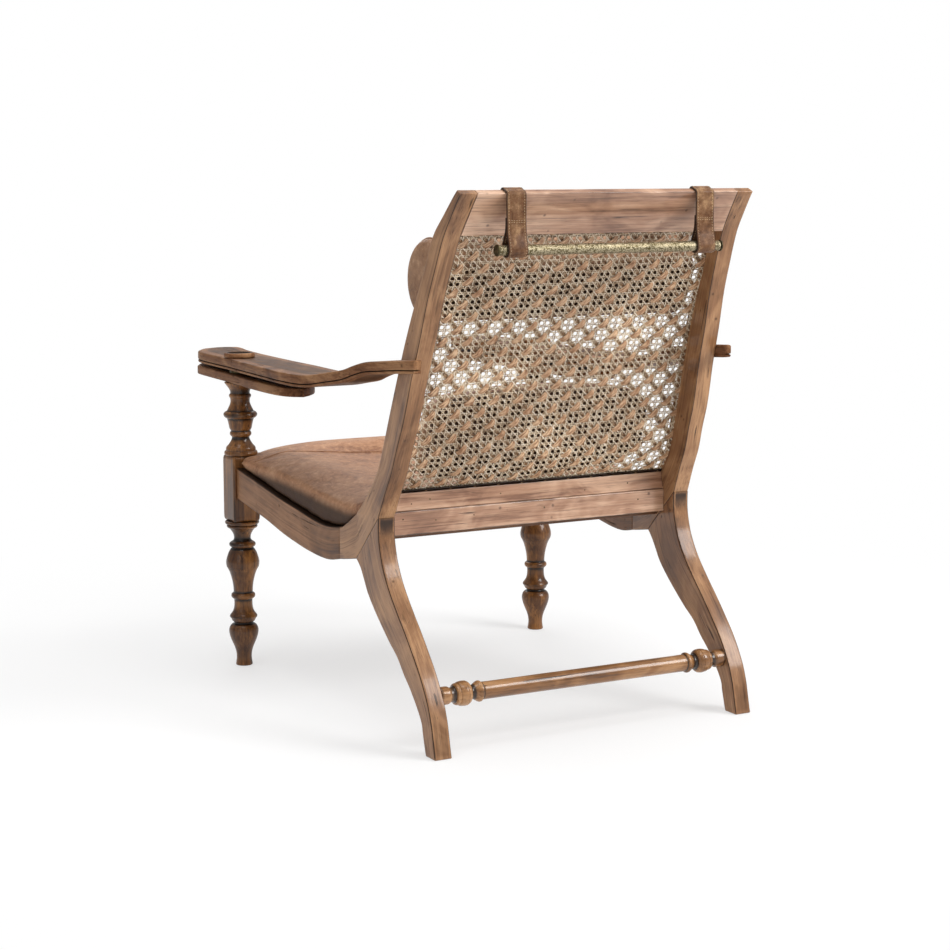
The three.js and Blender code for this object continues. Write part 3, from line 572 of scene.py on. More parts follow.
def hide(name, codes, grain_size, roughness_low, roughness_high, brushed=0.0):
    """Aniline leather: pebbled, veined and clouded, brushed along X where it is worn, and darker where a piece
    marks it: on the straps' dark cut edges, and as painted shade low on the seat's sides and on the cushions'
    backs against the cane.
    """
    material, g = new_material(name)
    dark, middle, light = paints(codes)
    place = g.place()
    clouds = g.noise(place, 9.0, 4.0, 0.6, 0.6)
    mottle = g.noise(place, 80.0, 5.0, 0.7)
    nap = g.noise(place, (55.0, 330.0, 330.0), 4.0, 0.7, 0.6)
    tone = g.total((clouds, 0.6 - brushed * 0.4), (mottle, 0.4 - brushed * 0.1), (nap, brushed * 0.5))
    colour = g.three_tones(tone, (0.38, 0.52, 0.5, 0.64), dark, middle, light)
    creases = g.spread(g.cells(place, grain_size, "DISTANCE_TO_EDGE"), 0.0, 0.14)
    veins = g.cells(g.vector("ADD", place, (0.3, 0.1, 0.7)), 34.0, "DISTANCE_TO_EDGE")
    veined = g.times(g.spread(veins, 0.05, 0.0), g.spread(g.noise(place, 14.0, 2.0), 0.5, 0.66))
    roughness = g.spread(g.total((tone, 1.0), (creases, -0.15)), 0.2, 0.7, roughness_low, roughness_high)
    # the last layer paints marked places dark: the straps' cut edges, and painted shade on the seat's sides and
    # the cushions' backs
    colour = g.layers(colour, (g.times(g.rest(creases), 0.35), dark), (g.times(veined, 0.4), dark),
                      (g.spread(mottle, 0.56, 0.68, 0.0, 0.35), light),
                      (g.spread(g.attribute("dark_edge_and_shade"), 0.3, 0.9, 0.0, 0.9), paint("2a180d")))
    normal = g.bump(creases, 0.0004, 0.6)
    normal = g.bump(g.rest(veined), 0.0007, 0.5, normal)
    normal = g.bump(nap, 0.0006, brushed * 0.5, normal)
    normal = g.bump(clouds, 0.006, 0.35, normal)
    g.surface(colour, roughness, normal, specular=0.2)
    return material


def split_cane(name, codes):
    """Peeled cane: pale, glossy skin with fine lengthwise lines and darker joints."""
    material, g = new_material(name)
    dark, middle, light = paints(codes)
    lines = g.out("ShaderNodeUVMap", uv_map="strand")
    place = g.place()
    fibre = g.noise(lines, (35.0, 2500.0, 1.0), 3.0, 0.6)
    patch = g.noise(place, 38.0, 3.0, 0.6)
    each = g.noise(lines, (80.0, 420.0, 1.0), 1.0)
    tone = g.total((fibre, 0.25), (patch, 0.2), (each, 0.55))
    colour = g.three_tones(tone, (0.38, 0.49, 0.48, 0.58), dark, middle, light)
    colour = g.blend(g.spread(g.noise(place, 6.0, 2.0), 0.62, 0.4, 0.0, 0.35), colour, dark)
    g.surface(colour, g.spread(tone, 0.3, 0.7, 0.5, 0.38), g.bump(fibre, 0.0003, 0.5), specular=0.45)
    return material


def hammered_brass(name):
    """Pale brass beaten all over, tarnished between the blows."""
    material, g = new_material(name)
    place = g.place()
    tarnish = g.noise(place, 90.0, 4.0, 0.65)
    hollow = g.spread(g.cells(g.vector("MULTIPLY", place, (0.7, 1.0, 1.0)), 480.0), 0.15, 0.75)
    colour = g.blend(g.spread(g.total((hollow, 0.5), (tarnish, 0.5)), 0.42, 0.78), *paints("b0a488 5f5439"))
    normal = g.bump(g.rest(hollow), 0.0006, 0.7)
    normal = g.bump(g.noise(place, 900.0, 3.0, 0.6), 0.0002, 0.4, normal)
    g.surface(colour, g.spread(tarnish, 0.3, 0.7, 0.36, 0.54), normal, metallic=1.0)
    return material


def speckled(name, codes, clouds, ends, roughness_ends, bump, **fixed):
    """A surface that is mottled between two colours."""
    material, g = new_material(name)
    tone = g.noise(g.place(), *clouds)
    colour = g.blend(g.spread(tone, *ends), *paints(codes))
    g.surface(colour, g.spread(tone, 0.3, 0.7, *roughness_ends), g.bump(tone, *bump), **fixed)
    return material


frame_wood = weathered_wood("frame_wood", "5c3b24 8c6342 b68a62 2a180c", gloss=0.36, shine=0.26, haze=0.14)
arm_wood = weathered_wood("arm_wood", "4c2e1b 775036 a37a57 1a0f09", gloss=0.06, shine=0.04)
rail_wood = weathered_wood("rail_wood", "4e3120 7b5537 a17656 24150b", gloss=0.06, shine=0.28)
board_wood = weathered_wood("board_wood", "754e38 ab7f62 d9b294 2c1a0f", gloss=0.8, haze=0.14)
turned_wood = weathered_wood("turned_wood", "3b1f0d 5e3a1c a06c38 160b05", gloss=0.45, shine=0.2, haze=0.12)
stretcher_wood = weathered_wood("stretcher_wood", "4a2d1a 85592f bf9062 1c1009", gloss=0.7, shine=0.3, haze=0.12)
deck_wood = weathered_wood("hidden_wood", "503522 6d4b32 8a6748 2c1c10", (1, 0, 0))
cleat_wood = weathered_wood("cleat_wood", "503522 6d4b32 8a6748 2c1c10", (0, 1, 0))
spline_wood = weathered_wood("spline_wood", "5b3d28 7c5739 a07a58 30200f", (0, .4, .92))
seat_leather = hide("seat_leather", "83583f b98a68 d6aa88", 620.0, 0.42, 0.6, 0.45)
pillow_leather = hide("pillow_leather", "7c573e a17a5c c09b7c", 620.0, 0.38, 0.58, 0.3)
strap_leather = hide("strap_leather", "402616 744f33 b08a64", 760.0, 0.24, 0.42)
fine_cane = split_cane("fine_cane", "3f2b1a a2815c ecd8ba")
pale_cane = split_cane("pale_cane", "7c6147 decaad fbf0dd")
broad_cane = split_cane("broad_cane", "7c5436 b48a66 dfbd98")
# a darker copy of the broad cane: painted shade for the broad strips that lie under the others
shaded_broad_cane = split_cane("shaded_broad_cane", "4b301f 83603f b08a64")
brass = hammered_brass("hammered_brass")
bronze = speckled("aged_bronze", "3a3323 6d6244", clouds=(160.0, 4.0, 0.65), ends=(0.4, 0.65),
                  roughness_ends=(0.36, 0.6), bump=(0.0004, 0.5), metallic=0.85)
stitching, seam_thread = (
    speckled(name, codes, (1400.0, 2.0), (0.4, 0.6), (0.7, 0.7), (0.0003, 0.6), sheen=0.3)
    for name, codes in (("stitching", "9c8058 cdb48c"), ("seam_thread", "7d5f48 a88868")))

# ---------------- wooden frame


def side_member(front, rear, ends, offset, joint=0.4, darker_behind=None, painted_shade_in_front=None):
    """A bar between two lines of the side view, as thick as the frame's timber, with its edges eased.

    Ends has the rounding of each end, and joint is how dirty an end is that meets another piece.
    The last two tell how much darker the rear face and the front face are painted at a height; the front face's
    darkening is painted shade."""
    rings, grain, wear_and_shade = [], [], []
    middle = (front + rear) / 2
    for fore, back, (y, z), along in zip(front, rear, middle, lengths(middle)):
        ring, near = rounded_ring(four_sides([np.array((face(*p), *p)) for face, p in (
            (outer_face, fore), (outer_face, back), (inner_face, back), (inner_face, fore))]), 2.4)
        across = unit(fore - back)
        through = (ring[:, 1] - y) * across[0] + (ring[:, 2] - z) * across[1]
        sideways = ring[:, 0] - ring[:, 0].mean()
        rings.append(ring)
        grain.append(np.stack([np.full(len(ring), along), sideways, through], 1) * mm + offset)
        near[[8, 9, 14, 15]] -= 1.35  # the dark long edges
        for dirt_and_shade, face in ((darker_behind, slice(8, 16)), (painted_shade_in_front, [20, 21, 22, 23, 0, 1, 2, 3])):
            if dirt_and_shade is not None:
                near[face] -= dirt_and_shade(ring[face, 2])
        wear_and_shade.append(near)
    # each end comes last in its turn, and the bar is turned round after it
    for size in ends:
        for rows in (rings, grain, wear_and_shade):
            rows.reverse()
        ring, rub_and_shade = rings.pop(), wear_and_shade.pop()
        normal = unit(np.cross(ring[6] - ring[0], ring[12] - ring[0]))
        if np.dot(normal, ring.mean(0) - rings[-1].mean(0)) < 0:
            normal = -normal
        rings += turned_over(ring, normal, size)
        grain += [grain[-1]] * 4
        wear_and_shade += [rub_and_shade * 0.5] + ([rub_and_shade * 0.3 + 0.3, .4, .1, .0] if size >= 1.5 else [-joint] * 4)
    return Shell().rings(rings, grain, wear_and_shade)


def pair(name, shell, material, smooth_angle=50.0):
    """A left piece and its mirror image, each in place of its own part of the frame."""
    for side, form in (("left", shell), ("right", shell.mirrored())):
        made = wooden(f"{name}_{side}_shaped", form, material, smooth_angle)
        finish_piece(made, "frame", "frame_wood", f"{name}_{side}")


# rear legs, with the slanted joint at the knee
leg_back, leg_fore = smooth(low(leg_rear)), smooth(low(leg_front))
slant = unit(leg_back[-1] - leg_fore[-1])
for line in (leg_back, leg_fore):
    line[-1] += gap * np.array([slant[1], -slant[0]])
# the rear face is painted darker: painted shade in the bend below the knee, a little all over, and more towards
# the foot
pair("rear_leg", side_member(
    leg_fore, leg_back, (2.0, 0.7), (0.0, 0.2, 0.5), 0.8,
    lambda z: 0.36 * np.clip((z - 346) / 30, 0, 1) + 0.14 + 0.12 * np.clip((90 - z) / 60, 0, 1)), frame_wood)

# knees and stiles, in one
pair("back_stile", side_member(
    smooth(low(knee_top) + high(stile_front)), smooth(low(knee_bottom) + high(stile_rear), corners=(2, 3)),
    (0.7, 1.6), (1.3, 0.6, 0.1)), frame_wood)

# side rails, from the knees to the front blocks
rail_lines = [smooth(low(rail_top)), smooth(low(rail_bottom))]
for line in rail_lines:
    line[0, 0] -= gap
    line[-1, 0] += gap
# the top face of each side rail is painted much darker, as shade under the rolled edge of the seat cushion
pair("side_rail", side_member(
    *rail_lines, (0.7, 0.7), (2.9, 0.3, 0.8), 0.0, None, lambda z: 1.6 + 0 * z), rail_wood)


def cross_board(name, sides, offset, node, radius=2.2, half=None, painted_shade_above=1000):
    """A board between the two sides, from the lines of its section in the side view, with painted shade on its
    faces above a height.
    """
    ring, near = rounded_ring(sides, radius, 4.5)
    y, z = ring.T
    reach = inner_face(y, z) - gap if half is None else np.full(len(ring), half)
    rings, grain, wear_and_shade = [], [], []
    for place in (1, .996, .99, .8, .6, .4, .2, 0, -.2, -.4, -.6, -.8, -.99, -.996, -1):
        rings.append(np.stack([reach * place, y, z], 1))
        grain.append(np.stack([reach * place, y - y.mean(), z], 1) * mm + offset)
        wear_and_shade.append(near - 1.2 * (z > painted_shade_above) - 0.35 * max(0, abs(place) - .99) / .01)
    made = wooden(name, Shell().rings(rings, grain, wear_and_shade), board_wood)
    return finish_piece(made, "frame", "frame_wood", *([node] if node else []))


seat_rail_rear = knee_y - 32.8
seat_rail_size = (22, 43)
front_rail_half = 14
back_rail_rear = seat_rail_rear - 2.5
back_rail_fore = back_rail_rear - 21.5
back_rail_lean = 4.5
back_rail_width = 33
back_rail_top = board_joint + back_rail_width
rail_rear_side = [(stile_rear_y(z), z) for z in np.linspace(top_rail_bottom, 949.9, 8)]
rail_fore_side = [(stile_front_y(z), z) for z in np.linspace(956.1, top_rail_bottom, 8)]
rail_rear_side[-1] = (25.8, 950)
rail_fore_side[0] = (11.8, 956.2)
cross_board("rear_seat_rail_shaped", box_sides(
    seat_rail_rear, seat_rail_rear - seat_rail_size[0], board_joint - seat_rail_size[1], board_joint),
    (0.2, 1.1, 0.4), "rear_seat_rail")
# the top face of the lower back rail is painted darker, as the shadow under the cane
cross_board("lower_back_rail_shaped", four_sides([
    (back_rail_rear, board_joint + gap), (back_rail_rear - back_rail_lean, back_rail_top),
    (back_rail_fore, back_rail_top), (back_rail_fore, board_joint + gap)]),
    (4.7, 1.9, 0.7), "lower_back_rail", 1.8, None, back_rail_top - 0.8)
cross_board("top_rail_shaped", [
    rail_rear_side, [rail_rear_side[-1], rail_fore_side[0]],
    rail_fore_side, [rail_fore_side[-1], rail_rear_side[0]]], (7.3, 0.5, 1.6), "top_rail", 1.6)
# a thin strip along the foot of the cane, painted dark all over: the painted shadow of the gap between the cane
# and the board
cross_board("cane_painted_shadow", four_sides([(stile_front_y(z) + cane_middle + out, z) for out, z in (
    (2.6, 418.9), (2.6, 423.4), (0.6, 423.4), (0.6, 418.9))]), (3.1, 2.2, 0.9), None, 0.6, None, 0)
cross_board("front_seat_rail_shaped", box_sides(
    front_leg_y + front_rail_half, front_leg_y - front_rail_half, rail_low, rail_high),
    (9.1, 0.8, 0.3), "front_seat_rail", 3.0, front_leg_x - block_half - gap)

# nail heads and old nail holes in the two boards under the cane
nails = Shell()
for x, z, size in ((262, 372, 1.5), (243, 398, 1.3), (205, 404, 1.6), (196, 366, 1.3), (-215, 402, 1.5),
                   (-236, 370, 1.5), (-120, 396, 1.2), (60, 403, 1.3), (-30, 371, 1.3), (118, 369, 1.2)):
    lean = back_rail_lean * (z - board_joint) / back_rail_width
    rear = seat_rail_rear if z < board_joint else back_rail_rear - lean
    nails.rings([np.array([(x + size * share * math.cos(a), rear + proud, z + size * share * math.sin(a))
                           for a in around(12)]) for share, proud in ((1, -0.4), (1, .15), (.7, .35))])
finish_piece(mesh_object("board_nails", *nails.form, bronze), "frame", "dark_bronze")

# ---------------- turned work

# pairs of height and radius
foot_turning = [
    (0, 15.2), (.7, 16.4), (2.5, 16.7), (6, 16.2), (14, 15.1), (22, 15.3), (29, 16.4), (37, 18.8), (42, 20.9),
    (49.5, 24.1), (55, 26.2), (62, 28.3), (70, 29.5), (76, 28.6), (81, 26), (84, 22.6), (85.4, 19.8), (87, 19),
    (88.4, 19.6), (90, 22), (94, 24.2), (97.4, 26), (98.4, 27.2), (100.4, 27.5), (102.6, 26.6), (106, 24),
    (111, 20.9), (119, 18.7), (129.5, 18.1), (135.6, 18.9), (136.6, 20.8), (138.8, 23), (142, 24),
    (145.4, 23.2), (147.4, 21), (148.6, 19.3), (152, 19.2), (160, 19.6), (172, 21.4), (185, 24.7), (193, 27.6),
    (198.2, 30.2), (198.9, 30.1), (199.6, 31.3), (202, 32.2), (207, 33.1), (213, 33), (221, 31), (229.5, 28),
    (235, 24.9), (238, 22.7), (239.4, 21.6), (240.8, 22.8), (243.4, 25.6), (246.6, 26.4), (249.6, 25),
    (252, 21.6), (253.4, 19.4), (256, 17.4), (260, 16.6), (266, 17.6), (272, 20.5), (277.6, 24.6), (279.2, 26),
    (280.4, 29), (282.6, 30.6), (285, 30.2), (286.2, 29.2), (287, 30.8), (288.6, 33.2), (291, 34),
    (293.4, 33.2), (294.4, 31)]
post_turning = [
    (425.6, 30), (426.8, 31.8), (428.6, 32.9), (431, 33), (433.6, 32.2), (435, 30.4), (436, 29.4),
    (437.4, 29.6), (440, 29.3), (443, 28), (446, 25), (451, 21.5), (456, 18.7), (460, 17.4), (462.4, 17.6),
    (464, 19), (466.4, 21), (469.4, 21.4), (472, 20.6), (474, 19.3), (476, 20), (480, 22), (488, 23.6),
    (496, 25.6), (499.4, 26.9), (500.2, 28), (501, 29.8), (504, 32.6), (507, 33.4), (510, 32.4), (512.6, 29.6),
    (513.6, 27), (515, 26), (519, 24), (524, 21.6), (528, 20), (532, 19.2), (536, 19.2), (539.4, 19.8),
    (541, 20.9), (543, 21.8), (545.4, 21.8), (547, 20.9), (548.2, 19.6), (551, 19.3), (555, 20.2), (559, 22.4),
    (563, 25.4), (567, 28.4), (570, 30.4), (571, 30.2)]
tenon_turning = [(560, 11.6), (562, 12), (616, 12), (619.4, 12), (619.7, 11.6)]
block_levels = (  # height, inset and wear
    (293.6, 7, 0), (293.9, 4.5, .1), (295, 2.4, .5), (297.2, .9, .5), (300.4, .2, .2), (306, 0, 0), (330, 0, 0),
    (360, 0, 0), (390, 0, 0), (414, 0, 0), (419.6, .2, .2), (422.8, .9, .5), (425, 2.4, .5), (426.1, 4.5, .1),
    (426.4, 7, 0))
stretcher_turning = [  # distance from the leg's face and radius
    (-12, 7.6), (-11.4, 8), (-.6, 8), (0, 14.4), (.8, 15.4), (2, 15.8), (14, 15.8), (17, 15.4), (18.4, 14.4),
    (20, 13.4), (24, 13), (27.5, 13.4), (29.2, 14.8), (30, 17), (31, 18.4), (33, 19), (35, 19.2), (36, 18.6),
    (36.8, 19.6), (39, 20.8), (43, 21.6), (47, 21.9), (49, 21.8), (49.8, 21), (50.6, 21.7), (53, 21.2), (56, 19.6),
    (58.4, 17), (59.6, 14.6), (60.6, 13), (62.5, 12.3), (64.5, 12.4), (67, 13.2), (70, 14.8), (73, 16.6),
    (75.5, 18), (77.5, 18.6), (79.6, 18.4), (80.6, 17.6), (81.2, 16.4), (82, 15.4), (83, 15.1), (84, 15.5),
    (86, 15.6), (110, 15.4), (160, 15.5)]
disc_turning = [
    (.3, 28.2), (.7, 29.3), (2, 30.3), (3.8, 30.6), (5.6, 30.4), (7.6, 29.7), (8.9, 28.4), (9.5, 26.6),
    (9.1, 24.8), (7.9, 23.2), (6.4, 20.6), (5.7, 16), (5.4, 8), (5.3, .4)]


def hollows(outline):
    """Wear and shade along a turned outline: darker where it dips between beads, from dirt and painted shade, and
    rubbed on the beads.
    """
    along, radius = outline.T
    spread = np.exp(-((along[:, None] - along[None, :]) / 7.0) ** 2)
    step = np.gradient(along)
    near = (spread * step) @ radius / (spread @ step)
    return np.clip((radius - near) / 2.6, -1, 1)


def lathe(outline, centre, sides, offset=0, steps=3, axis="z", rub_and_shade=hollows):
    """A turned piece: pairs of place along its axis and radius, closed at both ends."""
    line = smooth(outline, steps)
    rings, grain = [], []
    for along, radius in line:
        a, b = np.cos(around(sides)) * radius, np.sin(around(sides)) * radius
        at = np.full(sides, along)
        rings.append(np.stack([a, b, at] if axis == "z" else [at, a, b], 1) + np.array(centre))
        grain.append(np.stack([at, a, b], 1) * mm + offset)
    return Shell().rings(rings, grain, list(rub_and_shade(line)))


leg_grain = 0.4


def leg_block():
    """The square block, its long edges eased and its ends softly rounded over."""
    rings, grain, wear_and_shade = [], [], []
    for z, inset, rub_and_shade in block_levels:
        half = block_half - inset
        ring, near = rounded_ring(four_sides([
            np.array((front_leg_x + sx * half, front_leg_y + sy * half, z))
            for sx, sy in ((1, 1), (1, -1), (-1, -1), (-1, 1))]), 3.6)
        rings.append(ring)
        grain.append(
            np.stack([ring[:, 2], ring[:, 0] - front_leg_x, ring[:, 1] - front_leg_y], 1) * mm + leg_grain)
        wear_and_shade.append(np.maximum(near, rub_and_shade))
    return rings, grain, wear_and_shade


front_leg = lathe(foot_turning, leg_centre, turning_sides, leg_grain).rings(*leg_block())
front_leg.add(lathe(post_turning, leg_centre, turning_sides, leg_grain))
front_leg.add(lathe(tenon_turning, leg_centre, turning_sides // 2, leg_grain, 1))
pair("front_leg", front_leg, turned_wood, 60.0)

# rear stretcher: bar with two beads and a ring near each end, and a tenon in each leg
stretcher_z = 96.9
behind_middle = 8  # how far it lies behind the middle of the legs
stretcher_y = behind_middle + np.mean([
    np.interp(stretcher_z, line[:, 1], line[:, 0]) for line in (leg_back, leg_fore)])
half_stretcher = float(inner_face(stretcher_y, stretcher_z)) - gap
bar_line = [(half_stretcher - along, radius) for along, radius in stretcher_turning]
bar_line += [(-along, radius) for along, radius in reversed(bar_line)]
stretcher = lathe(bar_line, (0, stretcher_y, stretcher_z), 56, (5.2, 0.3, 0.9), axis="x")
finish_piece(wooden("rear_stretcher_turned", stretcher, stretcher_wood, 60.0), "frame", "frame_wood",
             "rear_stretcher")


# dished wooden discs over the pivots
# the cap is darker at its foot on the arm and in the dish, where the dish's darkness is painted shade; the rim is
# rubbed lighter as a painted highlight
def disc_rub_and_shade(line):
    return np.interp(np.arange(len(line)), [0, 6, 18, 21, 24, 29, 36, len(line)],
                     [-.6, .1, .5, 1, -.6, -1, -.9, -.6])


disc = lathe([(height + arm_height, radius) for height, radius in disc_turning], leg_centre, turning_sides,
             rub_and_shade=disc_rub_and_shade)
disc.grain = [((y + 8000) * mm, (x + 200) * mm, (z + 300) * mm) for x, y, z in disc.corners]
pair("pivot_cap", disc, arm_wood, 60.0)

# ---------------- arms and leg rests

# shares of the arm's reach, of its width inwards and outwards, and of its rise
arm_places = [
    [1, -.551, -.395, 0], [.995, -.671, -.275, 0], [.985, -.767, -.102, 0], [.967, -.774, .028, 0],
    [.944, -.741, .148, 0], [.913, -.687, .208, 0], [.839, -.627, .238, 0], [.771, -.597, .251, 0],
    [.661, -.523, .353, 0], [.557, -.48, .445, 0], [.489, -.428, .504, 0], [.425, -.394, .501, 0],
    [.386, -.376, .459, .04], [.326, -.353, .392, .23], [.281, -.337, .342, .385], [.253, -.329, .306, .56],
    [.22, -.32, .265, .73], [.185, -.311, .225, .81], [.13, -.293, .179, .92], [.075, -.279, .133, 1]]
rest_outline = [
    [.022, .118], [.05, .208], [.12, .281], [.3, .291], [.45, .251], [.786, .224], [.87, .198], [.892, .148],
    [.937, .028], [.97, -.102], [.991, -.275], [1, -.395],
    [1, -.551], [.991, -.671], [.97, -.767], [.937, -.774], [.832, -.687], [.688, -.627], [.483, -.588],
    [.306, -.561], [.17, -.518], [.09, -.411], [.03, -.202], [0, -.035]]
# how far each level is inset, its depth below the top, and how it is marked: rubbed lighter above nought, darker
# below it, as in the groove
arm_levels = [
    (8, .15, 0), (5, .1, .1), (3, .35, .5), (1.5, 1.0, .8), (.5, 2.1, .6), (.05, 3.8, .2), (0, 8, 0), (0, 13.2, 0),
    (.15, 15.4, .2), (.8, 16.3, -.4), (2.2, 16.8, -1), (2.5, 17.5, -1), (1.6, 18.0, -.8), (.6, 18.5, .2),
    (.25, 19.5, .6), (.3, 20.9, .4), (1.0, 22.2, .1), (2.4, 22.9, -.2), (6, 23, 0)]
rest_levels = [
    (5, 0, 0), (2.4, .1, .5), (1.0, .6, .9), (.2, 1.7, .6), (0, 3.4, .1), (0, 9, 0), (0, 14.2, 0), (.3, 15.8, .2),
    (1.2, 16.9, .3), (2.6, 17.3, 0), (6, 17.3, 0)]

arm_rear_y = -arm_places[-1][0] * arm_reach
stile_x = float(outer_face(arm_rear_y, arm_height + arm_rise))


def arm_line(y):
    """The line that the arm's width is measured from."""
    back = np.clip((y - front_leg_y) / (arm_rear_y - front_leg_y), 0, 1)
    return front_leg_x + back * (stile_x - front_leg_x)


def slab(outline, levels, top, strips=6):
    """A shaped board from its outline seen from above, closed level by level.

    The outline runs up one long edge and back down the other, so that its ends pair up across the board."""
    count = len(outline)
    after = np.roll(outline, -1, 0)
    u, v = units(outline - np.roll(outline, 1, 0)), units(after - outline)
    across = np.stack([u[:, 1] + v[:, 1], -u[:, 0] - v[:, 0]], 1)
    across /= np.maximum(1 + np.sum(u * v, 1), 0.35)[:, None]
    area = np.sum(outline[:, 0] * after[:, 1] - after[:, 0] * outline[:, 1])
    inward = -across if area > 0 else across
    corners, wear_and_shade, faces = [], [], []
    for level, (inset, depth, rub_and_shade) in enumerate(levels):
        corners += [(x, y, top(y) - depth) for x, y in outline + inward * inset]
        wear_and_shade += [rub_and_shade] * count
        if level:
            first = (level - 1) * count
            for i in range(count):
                a, b = first + i, first + (i + 1) % count
                faces.append((a, b, b + count, a + count))
    # the top and the bottom are closed in strips whose inner points are painted a little darker, a painted shade
    # on the broad top and bottom faces
    for level in (0, len(levels) - 1):
        first = level * count
        rows = []
        for i in range(count // 2):
            a, b = first + i, first + count - 1 - i
            row = [a]
            for k in range(1, strips):
                x, y = np.array(corners[a][:2]) * (1 - k / strips) + np.array(corners[b][:2]) * k / strips
                row.append(len(corners))
                corners.append((x, y, top(y) - levels[level][1]))
                wear_and_shade.append(-0.34)
            rows.append(row + [b])
        for one, two in zip(rows, rows[1:]):
            faces += [(one[k], one[k + 1], two[k + 1], two[k]) for k in range(strips)]
        if count % 2:
            faces += [(rows[-1][k], rows[-1][k + 1], first + count // 2) for k in range(strips)]
    return corners, faces, wear_and_shade


def flipped(points, side):
    return [(x * side, y, z) for x, y, z in points]


def edge_of_arm(column, places):
    return [(arm_line(-place[0] * arm_reach) + place[column] * arm_width, -place[0] * arm_reach)
            for place in places]


arm_outline = smooth(edge_of_arm(2, arm_places[::-1]) + edge_of_arm(1, arm_places), 4)
rest_outline = smooth([(front_leg_x + across * arm_width, rest_length * (1 - along) - arm_reach)
                       for along, across in rest_outline], 4)
rise_line = smooth([(-forward * arm_reach, arm_height + rise * arm_rise)
                    for forward, _, _, rise in arm_places[::-1]], 4)
rise_line = rise_line[np.argsort(rise_line[:, 0])]


def arm_top(y):
    return np.interp(y, rise_line[:, 0], rise_line[:, 1])


def rest_surface(y):
    return rest_top + (y - front_leg_y) * -math.tan(rest_sag)


def bore(middle, radius):
    """The hole for the front leg's tenon."""
    return lathe([(middle - 50, radius), (middle + 50, radius)], leg_centre, turning_sides // 2, steps=1)


def notch():
    """The space that the stile takes out of the arm."""
    past_stile, past_arm = 60, 400
    rings = []
    for y, z in stile_front_line:
        if 560 < z < 760:
            outside, inside = float(outer_face(y, z)) + gap, float(inner_face(y, z)) - past_stile
            rings.append(np.array([(outside, y - gap, z), (outside, y + past_arm, z),
                                   (inside, y + past_arm, z), (inside, y - gap, z)]))
    return Shell().rings(rings)


for side, name in both_sides:
    shift = 0.0 if side > 0 else 4.4
    for piece, body, outline, levels, top, cutters, offset in (
            ("arm", "frame", arm_outline, arm_levels, arm_top, (notch(), bore(610, 12.3)), (3.3, 0.2, 0.6)),
            ("leg_rest", f"leg_rest_{name}_board", rest_outline, rest_levels, rest_surface,
             (bore(590, 12.4),), (6.1, 0.7, 0.1))):
        corners, faces, wear_and_shade = slab(outline, levels, top)
        board = mesh_object(f"{piece}_{name}_shaped", flipped(corners, side), faces, arm_wood, 42.0)
        mark(board, "wear_and_shade", wear_and_shade)
        for shape in cutters:
            cutter = mesh_object("cutter", flipped(shape.corners, side), shape.faces, arm_wood)
            modified(board, "BOOLEAN", operation="DIFFERENCE", solver="EXACT", object=cutter)
            bpy.data.objects.remove(cutter)
        mark(board, "grain", corner_places(board)[:, [1, 0, 2]] + offset + np.array((shift, 0, 0)))
        finish_piece(board, body, "frame_wood", f"{piece}_{name}")

# ---------------- cane

cane_z = np.linspace(cane_bottom - 3, cane_top + 3, 60)
cane_profile = np.stack([stile_front_y(cane_z) + cane_middle, cane_z], 1)
cane_travelled = lengths(cane_profile)
cane_length = float(cane_travelled[-1])


def new_geometry_tree(name, inputs):
    """A geometry tree with named inputs and their starting values; the one without a value is a material."""
    tree = bpy.data.node_groups.new(name, "GeometryNodeTree")
    tree.interface.new_socket("Geometry", in_out="INPUT", socket_type="NodeSocketGeometry")
    kinds = {float: "NodeSocketFloat", int: "NodeSocketInt", type(None): "NodeSocketMaterial"}
    sockets = {}
    for label, value in inputs.items():
        socket = tree.interface.new_socket(label, in_out="INPUT", socket_type=kinds[type(value)])
        if value is not None:
            socket.default_value = value
        sockets[label] = socket.identifier
    tree.interface.new_socket("Geometry", in_out="OUTPUT", socket_type="NodeSocketGeometry")
    return tree, Graph(tree), tree.nodes.new("NodeGroupInput").outputs, sockets


def made_by_tree(name, mesh, tree, sockets, values):
    """A new object whose plain mesh a geometry tree makes."""
    made = placed_object(name, mesh)
    change = made.modifiers.new(name, "NODES")
    change.node_group = tree
    for label, value in values.items():
        change[sockets[label]] = value
    return made


